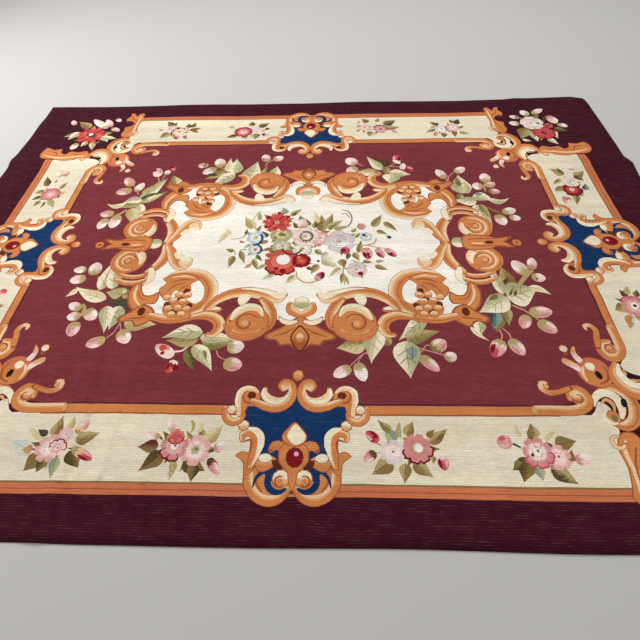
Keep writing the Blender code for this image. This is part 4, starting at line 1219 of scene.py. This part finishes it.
centre = {
    "stems": (("khaki", (-33, 8, .8), (-35.6, 4.4, .8), (-41.4, 3.4, .6)),
              ("khaki", (-27, 10, .8), (-30, 15, .8), (-30, 21, .6), (-27, 26.6, .8)),
              ("olive", (20.6, 27.4, .6), (24.4, 25.4, .8), (26.2, 20, .8), (25, 15, .8),
               (22, 11.6, .6)), ("olive", (20, 23.4, .5), (23, 23.8, .7), (24.8, 20.4, .5)),
              ("khaki", (27, -1, .8), (33, -1.8, .9), (37.6, -.4, .9), (39, 3.2, .8)),
              ("khaki", (33, -1.8, .8), (38, -3.4, .8), (43.6, -4.4, .6)),
              ("khaki", (9, -26.6, .8), (2, -28.6, .9), (-3, -25.4, .8), (-3.8, -20.6, .6)),
              ("khaki", (21, -16.4, .8), (20.2, -22, .9), (21.2, -30, .6)),
              ("khaki", (25, -13, .8), (29, -14.6, .8), (33, -17.4, .6)),
              ("olive", (-35.4, -6, .7), (-33.6, -4.6, .6), (-31.6, -5, .5)),
              ("khaki", (-38.4, -5.4, .6), (-37.4, -9, .6)),
              ("khaki", (-23.6, -11, .7), (-27.4, -12.4, .7), (-28.4, -16, .6))),
    "leaves": ((-12.4, 24, -14, 30, 5, "sage", "teal"), (-9.4, 22.4, -2.2, 28.8, 3.8, "sage", "khaki"),
               (-29.4, 12, -35.4, 22.4, 6, "khaki", "straw"),
               (-26.6, 19, -27.4, 25.8, 3, "khaki", "sage"),
               (-44, 9.4, -48.4, -.4, 4.2, "straw", "linen"),
               (-42.4, 7, -45.4, 12.8, 3.6, "linen", "straw"),
               (-33.4, 7, -33, 12, 2.2, "olive", "olive"),
               (-38.4, -6, -43.4, -4.2, 3, "olive", "khaki"),
               (-38.4, -9.4, -39.6, -18.4, 4, "olive", "khaki"),
               (-35, -6, -31.6, -15.4, 3.4, "khaki", "olive"),
               (-27, -12.6, -24.2, -20, 3.2, "khaki", "olive"),
               (-28, -15.4, -31.8, -18.8, 2.6, "khaki", "dusk"),
               (-36.4, 1.6, -33, .4, 1.8, "bronze", "dusk"),
               (-27, 9.6, -25.6, 15, 2.6, "olive", "khaki"),
               (-2, 17.4, -3.6, 22.8, 3.6, "moss", "khaki"),
               (9.4, 9, 8.6, 23.4, 6.4, "bronze", "khaki"),
               (11.6, 13.4, 15.4, 24.6, 4.4, "khaki", "bronze"),
               (6.4, 16, 4.8, 26, 4.6, "linen", "straw"), (12.4, 12, 21, 18.4, 5.4, "sage", "khaki"),
               (16, 10.4, 25, 13.4, 3.4, "khaki", "sage"),
               (37.6, 12.6, 43.4, 23, 5, "olive", "khaki"), (44, 16.4, 51.4, 9.2, 4, "olive", "khaki"),
               (39.6, 9.4, 45.4, 6.8, 3.4, "olive", "khaki"),
               (29, -7.4, 30.8, 2.4, 3.6, "olive", "khaki"),
               (26.4, -7.4, 29.2, -13.6, 3.8, "khaki", "olive"),
               (9.4, -11.4, 18, -18.4, 6.6, "linen", "sage"),
               (7.2, -15.8, 3.6, -23, 4.2, "khaki", "bronze"),
               (19.4, -12.2, 21.2, -18.6, 5, "bronze", "khaki"),
               (19.6, -18.6, 12.6, -25, 4, "linen", "khaki"),
               (20.4, -22, 19.2, -30, 2.8, "khaki", "olive"),
               (21, -24, 23.4, -30.4, 2.2, "khaki", "khaki"),
               (-4, -23.6, -9, -29.4, 4.4, "linen", "khaki"),
               (-15, -24.2, -22, -26.8, 4.6, "white", "sage"),
               (37, -16.8, 44, -20.2, 3.4, "khaki", "olive"),
               (37.6, -14, 42.8, -13.4, 2.4, "sage", "khaki"),
               (8.6, 7, 14, 9.8, 3.4, "bronze", "khaki"), (-21, 5, -25, 10, 3.4, "olive", "moss"),
               (-20.6, 2, -25.4, -1, 3, "khaki", "olive"),
               (-4.6, 12, -7.6, 17.4, 3, "moss", "olive"), (4.6, 12, 5.4, 18.6, 3.2, "khaki", "moss"),
               (2.4, 14, -.4, 20, 2.8, "bronze", "olive"),
               (-18.6, -4, -23.4, -6, 2.8, "khaki", "bronze"),
               (-7, -7.4, -2, -9.4, 2.6, "bark", "moss"),
               (-16, -7.2, -20.4, -4.4, 2.4, "bark", "bronze"),
               (5.6, -5, 10.4, -9.6, 3.6, "sage", "olive"), (13, 10.4, 17.6, 15.6, 3, "olive", "khaki"),
               (25.6, 8.4, 28.8, 11.6, 2.6, "khaki", "bronze"),
               (27.4, 4, 30.6, 8, 2.4, "sage", "olive"), (24, -7.8, 22.4, -13, 2.8, "olive", "moss"),
               (12.4, -7, 8.4, -12, 3.4, "mist", "sage"),
               (-26, -9, -22.4, -13.6, 2.4, "moss", "olive"),
               (-30, -.6, -33.6, -4, 2.4, "sage", "khaki"),
               (31, -13.4, 36.4, -15, 2.8, "khaki", "olive"),
               (1.4, -17.6, 5.4, -20.4, 2.6, "bronze", "moss"),
               (-20.6, -16, -25, -19.6, 2.8, "sage", "khaki"),
               (-8, 22.4, -5.6, 26.4, 2.4, "olive", "moss")),
    "buds": ((-1, 12, -3.4, 19.4, 6, "pink", "blush"), (33, -4, 34.2, -12.4, 5.6, "pink", "rose",
                                                        "dusk"),
                                                        (39, -4.4, 41.8, -11.4, 4.4, "pink", "rose",
                                                         "dusk"),
             (43.6, -4.6, 48.8, -10.4, 4.6, "pink", "rose", "dusk"),
             (6.6, -26.8, 10.4, -21.4, 4.6, "pink", "ruby", "dusk")),
    "blooms": ((-27.6, 4.6, 0, 5.4, "white", "sky", "straw", None, 6),
               (-27, -4.8, 0, 4.2, "white", "sky", "amber", None, 5),
               (-13.6, 7, 0, 5.8, "straw", "sage", "olive", "khaki", 6, (0, 360)),
               (-12.8, -2.4, 0, 5.6, "mist", "sage", "straw", "bronze", 6, (180, 360)),
               (8, 3.6, 30, 5.6, "blush", "pink", "blush", None, 6),
               (-1.6, -4.4, 10, 5.4, "cream", "mist", "sage", "taupe", 6, (180, 360)),
               (33.6, 4.6, 0, 3.6, "white", "sky", "straw"),
               (31.6, 13, 0, 2.4, "pink", "dusk", "clay", "slate", 6, (90, 270)),
               (-12, -13.6, 12, 9.4, "coral", "scarlet", "white", "ruby", 9, (200, 330)),
               (-1.6, -13, 0, 4.6, "scarlet", "ruby", "coral", "ruby", 6, (0, 360))),
    "roses": ((19, 1.2, 10, 8.4, "white", "lilac", "taupe"),
              (0, 5.2, 0, 7.6, "cream", "blush", "taupe"),
              (27.6, -19.6, 30, 5.4, "blush", "lilac", "taupe")),
    "ruffles": ((-16.6, 17, 10, 8.6, "scarlet", "ruby", "pink"),),
    "dots": ((-11.6, -12.4, 4.2, "rose"), (-11.4, -12.2, 3.8, "white"), (21.8, -5.8, 2.8, "rose"),
             (20.8, -5.8, 1.4, "plum"), (29.4, -22.4, 1.5, "ruby"),
             (7.4, -13.4, .9, "slate"), (32.4, 6, 1.1, "navy"), (46.2, 4.2, 1.3, "navy"),
             (45, 5.6, .9, "sky"), (-12, 6.6, 1.3, "olive"),
             (-18, 8, 1.2, "khaki"), (-9.6, 10, 1.3, "dusk"), (-16.6, 4.4, 1, "bronze"),
             (-8.4, 5.4, 1.2, "sage"), (-15.4, 10.6, 1, "blush"),
             (6, 10.4, 1.2, "pink"), (7.6, -1.4, 1.5, "dusk"), (5.4, 1, 1.1, "pink"),
             (-6.4, 10, 1.4, "blush"), (-5, -1.2, 1, "khaki"),
             (-21.8, 21, 1.3, "ruby"), (-16, 25, 1.2, "ruby"), (-10.4, 21.6, 1.2, "ruby"),
             (-22.6, 13, 1.2, "ruby"), (-9.2, 14.4, 1, "coral"),
             (-19.6, -9, 1.6, "scarlet"), (-11, -20.4, 1.8, "ruby"), (-14.6, -18.6, 1.2, "ruby"),
             (-3, -10.6, 1.2, "coral"),
             (34, -8.6, 1.1, "ruby"), (34.6, -10.4, .8, "plum"), (46.6, -8, .9, "ruby")),
}


def florals(middle=False):
    if not middle:
        for parts in sprays + bouquets:
            posy(**parts)
        return
    posy(**centre)
    # dark stamens round the white rose, dark stitches along the blue florets
    for x, y, reach, start, end, count, wool in ((0.4, 5.4, 3.6, -110, 110, 10, "slate"),
                                                 (0.4, 5.4, 3.2, 140, 220, 4, "olive"),
                                                 (-28.6, 3.6, 4.8, -80, 40, 9, "navy"),
                                                 (-27.4, -4.8, 3.8, -50, 60, 6, "navy"),
                                                 (-7, -3, 5.4, 200, 330, 9, "bark"),
                                                 (-14, -3, 5.6, 200, 290, 6, "bronze")):
        for k in range(count):
            a = math.radians(start + (end - start) * k / (count - 1))
            disc(x + reach * math.cos(a), y + reach * math.sin(a), 0.8, wool, points=6)


def drawDesign():
    shapes.clear()
    ground()
    draw(corner, four)
    cartouches()
    florals()
    medallion()
    florals(middle=True)
    return shapes

# The rug's cloth. Edge tables: station along the edge in metres, outward offset in millimetres.
cloth = {"long": 4.0, "short": 2.975, "thick": 0.003, "edgeReach": 0.35, "foldEnd": 0.16,
         "stitch": 0.04, "backStitch": 0.06,
         "left": ((-1.49, 2), (-1.10, -6), (-0.60, 3), (-0.10, -4), (0.60, -5), (0.71, -7), (0.80, 3),
                  (0.92, -4), (1.08, -11), (1.24, -9), (1.35, -16), (1.49, -11)),
         "right": ((-1.49, -4), (-1.00, 5), (-0.45, -3), (0.10, 6), (0.40, 9), (0.55, 17), (0.645, 26),
                   (0.70, 28), (0.76, 3), (0.88, 6), (1.20, 5), (1.43, 3), (1.49, -9)),
         "near": ((-2.00, 3), (-1.45, -5), (-1.00, -4), (-0.72, 0), (-0.20, 2), (0.40, -3), (1.00, 4),
                  (1.55, -2), (2.00, -6)),
         "far": ((-2.00, 5), (-1.55, -5), (-1.24, 0), (-0.90, 10), (-0.47, 3), (-0.10, 3), (0.35, 13),
                 (0.65, 11), (1.02, 5), (1.39, 14), (1.54, 26), (1.77, 34), (1.91, 39), (2.00, 14)),
         # start, end in metres, height and half width in millimetres
         "folds": (((-0.94, -0.62), (-0.89, -1.60), 6, 60), ((-0.79, -0.66), (-0.74, -1.38), 4, 55),
                   ((-0.68, -0.90), (-0.65, -1.36), 4, 50), ((-2.10, 0.80), (-1.62, 0.76), 9, 75),
                   ((2.10, 0.70), (1.66, 0.75), 12, 75), ((1.52, 1.60), (1.44, 1.32), 6, 90)),
         # finer creases of the woven face: start, end in metres, height and half width in millimetres
         "creaseEnd": 0.1,
         "creases": (((-0.915, -0.40), (-0.865, -1.49), 6.0, 26),
                     ((-0.845, -0.46), (-0.815, -1.42), 4.6, 20),
                     ((-0.985, -0.52), (-0.955, -1.30), 4.6, 24),
                     ((-0.745, -0.60), (-0.725, -1.36), 4.2, 20),
                     ((-0.56, -0.92), (-0.53, -1.40), 3.4, 22),
                     ((-0.30, -1.20), (-0.28, -1.47), 3.4, 20),
                     ((0.62, -0.98), (0.66, -1.30), 3.8, 24), ((0.74, -1.02), (0.80, -1.46), 4.2, 26),
                     ((0.30, -1.28), (0.33, -1.48), 3.4, 22), ((1.60, 1.30), (1.95, 0.98), 5.0, 30),
                     ((-1.62, 1.02), (-1.98, 0.86), 5.0, 28), ((1.30, -0.40), (1.98, -0.46), 3.6, 30)),
         "ripple": 0.0012, "drift": 0.0035}


def ease(t):
    t = min(1.0, max(0.0, t))
    return t * t * (3 - 2 * t)


def edgeOffset(table, station):
    if station <= table[0][0]:
        return table[0][1] / 1000
    for (s0, d0), (s1, d1) in zip(table, table[1:]):
        if station <= s1:
            return (d0 + (d1 - d0) * ease((station - s0) / (s1 - s0))) / 1000
    return table[-1][1] / 1000


def wandered(x, y):
    # the same wander of the edges as the solid has, and in the middle the small drift of hand weaving
    halfLong, halfShort, reach = cloth["long"] / 2, cloth["short"] / 2, cloth["edgeReach"]
    right = edgeOffset(cloth["right"], y) * (1 - ease((halfLong - x) / reach))
    left = edgeOffset(cloth["left"], y) * (1 - ease((halfLong + x) / reach))
    far = edgeOffset(cloth["far"], x) * (1 - ease((halfShort - y) / reach))
    near = edgeOffset(cloth["near"], x) * (1 - ease((halfShort + y) / reach))
    inside = ease(min(halfLong - abs(x), halfShort - abs(y)) / 0.12) * cloth["drift"]
    slow = noise.noise_vector((x * 2.2, y * 2.2, 3.0)) + 0.45 * noise.noise_vector((x * 9, y * 9, 8.0))
    return x + right - left + slow.x * inside, y + far - near + slow.y * inside


def ridge(x, y, start, end, top, halfWidth, foldEnd):
    a, b = Vector(start), Vector(end)
    run = (b - a).length
    along = (Vector((x, y)) - a).dot((b - a) / run)
    away = (Vector((x, y)) - a - (b - a) / run * along).length
    faded = ease(along / foldEnd) * ease((run - along) / foldEnd)
    return top / 1000 * ease(1 - away / (halfWidth / 1000)) * faded


def lift(x, y, creased=True):
    # the fine creases are in the woven face only, so the underside stays clear of it
    height = max(ridge(x, y, *fold, cloth["foldEnd"]) for fold in cloth["folds"])
    if creased:
        height += max(ridge(x, y, *crease, cloth["creaseEnd"]) for crease in cloth["creases"])
    unlevel = noise.noise((x * 3.1, y * 3.1, 1.5)) + 0.5 * noise.noise((x * 8, y * 8, 4.5))
    return height + cloth["ripple"] * max(0.0, 0.6 + unlevel)


def linear(colour):
    return [(c / 255 / 12.92 if c / 255 <= 0.04045 else ((c / 255 + 0.055) / 1.055) ** 2.4) for c in colour]


def makeCloth():
    drawDesign()
    print("design drawn:", len(shapes), "shapes")
    spots, known, faces, sources = [], {}, [], []

    def spot(x, y):
        key = (round(x * 50), round(y * 50))
        if key not in known:
            known[key] = len(spots)
            spots.append(Vector((key[0] / 5000, key[1] / 5000)))
        return known[key]

    for number, (points, wool, shade, mix) in enumerate(shapes):
        ring = [spot(*p) for p in points]
        ring = [i for k, i in enumerate(ring) if i != ring[k - 1]]
        if len(set(ring)) == len(ring) > 2 and ringArea([spots[i] for i in ring]) > 1e-7:
            faces.append(ring)
            sources.append(number)
    step = cloth["stitch"]
    for i in range(1, int(cloth["long"] / step)):
        for j in range(1, int(cloth["short"] / step)):
            stagger = 0.25 * step * (-1) ** j
            spots.append(Vector((i * step - cloth["long"] / 2 + stagger,
                                 j * step - cloth["short"] / 2)))
    for start, end, top, halfWidth in cloth["creases"]:
        a, b = Vector(start), Vector(end)
        across = (b - a).orthogonal().normalized() * halfWidth / 1000
        rows = round((b - a).length / 0.03)
        for i in range(1, rows):
            for share in (-1.0, -0.5, 0.0, 0.5, 1.0):
                stitch = a.lerp(b, i / rows) + across * share
                if abs(stitch.x) < cloth["long"] / 2 - 0.01 and abs(stitch.y) < cloth["short"] / 2 - 0.01:
                    spots.append(stitch)
    points, _, triangles, _, _, origins = geometry.delaunay_2d_cdt(spots, [], faces, 1, 1e-6, True)
    print("sheet divided:", len(points), "points", len(triangles), "triangles")

    # the woven face, and a plainer underside that shares its rim
    sides = {}
    for a, b, c in triangles:
        for edge in ((a, b), (b, c), (c, a)):
            sides[edge] = True
    rim = [edge for edge in sides if (edge[1], edge[0]) not in sides]
    onRim = {a: b for a, b in rim}
    start = rim[0][0]
    loop = [start]
    while onRim[loop[-1]] != start:
        loop.append(onRim[loop[-1]])
    under = [points[i] for i in loop]
    ring = list(range(len(under)))
    coarse = cloth["backStitch"]
    for i in range(1, int(cloth["long"] / coarse)):
        for j in range(1, int(cloth["short"] / coarse)):
            under.append(Vector((i * coarse - cloth["long"] / 2, j * coarse - cloth["short"] / 2)))
    below, _, belowFaces, belowFrom, _, _ = geometry.delaunay_2d_cdt(under, [], [ring], 1, 1e-6, True)
    places = [(*wandered(p.x, p.y), 0) for p in points]
    places = [(x, y, lift(x, y) + cloth["thick"]) for x, y, z in places]
    belowPlaces = [(*wandered(p.x, p.y), 0) for p in below]
    belowPlaces = [(x, y, lift(x, y, False)) for x, y, z in belowPlaces]
    count = len(places)
    back = {src: i for i, group in enumerate(belowFrom) for src in group if src < len(loop)}
    polygons = [tuple(t) for t in triangles]
    polygons += [tuple(count + i for i in reversed(t)) for t in belowFaces]
    for k, a in enumerate(loop):
        b = loop[(k + 1) % len(loop)]
        polygons.append((b, a, count + back[k], count + back[(k + 1) % len(loop)]))
    mesh = bpy.data.meshes.new("tapestry")
    mesh.from_pydata(places + belowPlaces, [], polygons)
    mesh.update()

    # each corner of each face knows its two wools and how far it lies from one to the other
    plain = linear(wools["wine"])
    first, second, share = [], [], []
    planes = {}
    for triangle, origin in zip(triangles, origins):
        middle = sum((points[i] for i in triangle), Vector((0, 0))) / 3 * 100
        number = next(sources[k] for k in sorted(origin, reverse=True) if holds(shapes[sources[k]][0],
                                                                                *middle))
        _, wool, shade, mix = shapes[number]
        if shade and number not in planes:
            planes[number] = mixPlane(shapes[number])
        a, b = linear(wools[wool]), linear(wools[shade or wool])
        for corner in triangle:
            first.append((*a, 1.0))
            second.append((*b, 1.0))
            if shade:
                p, q, r = planes[number]
                share.append(min(1.0, max(0.0, p + q * points[corner].x + r * points[corner].y)))
            else:
                share.append(0.0)
    rest = len(mesh.loops) - len(first)
    first += [(*plain, 1.0)] * rest
    second += [(*plain, 1.0)] * rest
    share += [0.0] * rest
    for name, kind, values in (("wool", "FLOAT_COLOR", first), ("second wool", "FLOAT_COLOR", second),
                               ("hatching", "FLOAT", share)):
        layer = mesh.attributes.new(name, kind, "CORNER")
        layer.data.foreach_set("color" if kind == "FLOAT_COLOR" else "value",
                               np.array(values, np.float32).ravel())
    mesh.shade_smooth()
    obj = bpy.data.objects.new("tapestry", mesh)
    bpy.context.scene.collection.objects.link(obj)
    return obj


def ringArea(ring):
    return sum(p.x * q.y - q.x * p.y for p, q in zip(ring, ring[1:] + ring[:1])) / 2


def holds(ring, x, y):
    # whether a spot lies inside a ring
    inside = False
    for (ax, ay), (bx, by) in zip(ring, ring[1:] + ring[:1]):
        if (ay > y) != (by > y) and x < ax + (bx - ax) * (y - ay) / (by - ay):
            inside = not inside
    return inside


def mixPlane(shape):
    # the flat slope that best follows the shares at the shape's corners
    points, _, _, mix = shape
    rows = np.array([(1, x / 100, y / 100) for x, y in points])
    (p, q, r), *_ = np.linalg.lstsq(rows, np.array(mix, float), rcond=None)
    return p, q, r


rugPiece = makeCloth()
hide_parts("rug")
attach(rugPiece, "root")
print("cloth made:", len(rugPiece.data.polygons), "faces")

# Wool finish: weft ribs with painted shade in their hollows and a painted highlight on their tops, hatched
# shades, uneven dye, soft fading
weave = {"weft": 0.0028, "ridge": 0.0095, "streaks": 0.26, "bands": 0.16, "fading": 0.2, "mottle": 0.26,
         "wearAndHighlight": 0.16, "dustAndHighlight": (0.42, 0.34, 0.30, 1), "wander": 0.018, "bump": 0.0012}


def makeTapestryMaterial():
    mat = bpy.data.materials.new("woven wool")
    mat.use_nodes = True
    nodes, links = mat.node_tree.nodes, mat.node_tree.links
    shader = nodes["Principled BSDF"]

    def add(kind, inputs=(), **settings):
        node = nodes.new(kind)
        for key, value in settings.items():
            setattr(node, key, value)
        for socket, value in dict(inputs).items():
            if isinstance(value, bpy.types.NodeSocket):
                links.new(value, node.inputs[socket])
            else:
                node.inputs[socket].default_value = value
        return node

    def stretched(scale, source=None):
        return add("ShaderNodeMapping", {"Vector": source or place, "Scale": scale}).outputs["Vector"]

    def maths(operation, *values, clamp=False):
        return add("ShaderNodeMath", dict(enumerate(values)), operation=operation,
                   use_clamp=clamp).outputs["Value"]

    def cloud(scale, detail=3, rough=0.55):
        return add("ShaderNodeTexNoise", {"Vector": stretched(scale), "Scale": 1.0, "Detail": detail,
                                          "Roughness": rough}).outputs["Fac"]

    def spread(value, low, high, newLow=0.0, newHigh=1.0):
        return add("ShaderNodeMapRange", {"Value": value, "From Min": low, "From Max": high,
                                          "To Min": newLow,
                                          "To Max": newHigh}).outputs["Result"]

    def blend(kind, amount, first, second):
        return add("ShaderNodeMix", {"Factor": amount, 6: first, 7: second}, data_type="RGBA",
                   blend_type=kind).outputs[2]

    place = add("ShaderNodeTexCoord").outputs["Object"]
    wool = add("ShaderNodeAttribute", attribute_name="wool").outputs["Color"]
    secondWool = add("ShaderNodeAttribute", attribute_name="second wool").outputs["Color"]
    share = add("ShaderNodeAttribute", attribute_name="hatching").outputs["Fac"]
    # shades meet in fine broken rows, as hatching does on the loom
    rows = maths("MULTIPLY_ADD", cloud((60, 300, 1), 1), 0.9, -0.45)
    colour = blend("MIX", spread(maths("ADD", share, rows), 0.36, 0.64), wool, secondWool)
    # dye lies unevenly along the rows and from batch to batch, and the wool has faded and browned in patches
    tone = 1.0
    for scale, detail, rough, name in (((11, 190, 1), 3, 0.7, "streaks"),
                                       ((0.5, 17, 1), 2, 0.5, "bands"),
                                       ((1.6, 2.1, 1), 4, 0.6, "fading"),
                                       ((55, 95, 1), 4, 0.75, "mottle")):
        part = spread(cloud(scale, detail, rough), 0.28, 0.72, 1 - weave[name] / 2, 1 + weave[name] / 2)
        tone = maths("MULTIPLY", tone, part)
    colour = blend("MULTIPLY", 1.0, colour, tone)
    tint = blend("MIX", spread(cloud((6, 9, 1), 4, 0.65), 0.35, 0.65), (1.0, 0.93, 0.88, 1),
                 (0.97, 1.0, 1.02, 1))
    colour = blend("MULTIPLY", 0.6, colour, tint)
    # painted shade in the hollows between the ribs and a painted highlight on their tops
    wander = maths("MULTIPLY_ADD", cloud((7, 5, 1), 3), weave["wander"], -weave["wander"] / 2)
    shifted = add("ShaderNodeVectorMath", {0: place,
                                           1: add("ShaderNodeCombineXYZ", {"Y": wander}).outputs[0]},
                  operation="ADD").outputs["Vector"]

    def ribs(pitch, source):
        return add("ShaderNodeTexWave", {"Vector": source, "Scale": math.pi / 10 / pitch,
                                         "Distortion": 0.0},
                   bands_direction="Y").outputs["Fac"]

    ridge = maths("MULTIPLY", ribs(weave["ridge"], shifted),
                  spread(cloud((14, 40, 1), 3), 0.35, 0.65, 0.25, 1.0))
    fine = ribs(weave["weft"], shifted)
    yarn = cloud((700, 1500, 1), 2)
    # painted shade and light: darker in the rib hollows, lighter on the rib tops
    ribShadeAndLight = spread(ridge, 0.0, 1.0, 0.87, 1.06)
    colour = blend("MULTIPLY", 1.0, colour, ribShadeAndLight)
    # a dusty tone on the rib tops: partly dust and wear, partly a painted highlight that lightens the rows
    # on dark wools
    wearAndHighlight = maths("MULTIPLY", spread(ridge, 0.35, 1.0),
                 spread(cloud((24, 130, 1), 3, 0.7), 0.42, 0.7, 0.0, weave["wearAndHighlight"]))
    colour = blend("MIX", wearAndHighlight, colour, weave["dustAndHighlight"])
    links.new(colour, shader.inputs["Base Color"])
    height = maths("ADD", maths("MULTIPLY", ridge, 0.6),
                   maths("ADD", maths("MULTIPLY", fine, 0.3), maths("MULTIPLY", yarn, 0.25)))
    bump = add("ShaderNodeBump", {"Height": height, "Strength": 0.7, "Distance": weave["bump"]})
    links.new(bump.outputs["Normal"], shader.inputs["Normal"])
    shader.inputs["Roughness"].default_value = 0.95
    shader.inputs["Specular IOR Level"].default_value = 0.04
    return mat


rugPiece.data.materials.append(makeTapestryMaterial())
print("wool finish made")

# Plain pale floor and soft studio light
studio = {"floor": 9.0, "floorColour": (0.50, 0.485, 0.465), "sky": 0.62,
          # name, place, size, power
          "lamps": (("window", (-3.6, 1.6, 2.4), (3.5, 2.5), 95.0),
                    ("ceiling", (0.6, 3.4, 4.6), (5.0, 3.0), 120.0))}


def makeStudio():
    bpy.ops.object.select_all(action="DESELECT")
    bpy.ops.mesh.primitive_plane_add(size=studio["floor"] * 2, location=(0, 2, -0.0005))
    floor = bpy.context.object
    floor.name = "floor"
    mat = bpy.data.materials.new("pale floor")
    mat.use_nodes = True
    shader = mat.node_tree.nodes["Principled BSDF"]
    shader.inputs["Base Color"].default_value = (*studio["floorColour"], 1)
    shader.inputs["Roughness"].default_value = 0.7
    floor.data.materials.append(mat)
    world = bpy.data.worlds.new("studio")
    bpy.context.scene.world = world
    world.use_nodes = True
    world.node_tree.nodes["Background"].inputs["Color"].default_value = (1, 1, 1, 1)
    world.node_tree.nodes["Background"].inputs["Strength"].default_value = studio["sky"]
    for name, place, size, power in studio["lamps"]:
        lamp = bpy.data.lights.new(name, "AREA")
        lamp.energy = power
        lamp.shape = "RECTANGLE"
        lamp.size, lamp.size_y = size
        light = bpy.data.objects.new(name, lamp)
        bpy.context.scene.collection.objects.link(light)
        light.location = place
        light.rotation_mode = "QUATERNION"
        light.rotation_quaternion = (Vector((0, 0, 0)) - light.location).to_track_quat("-Z", "Y")
    bpy.context.scene.view_settings.view_transform = "Standard"


makeStudio()
print("studio lit")
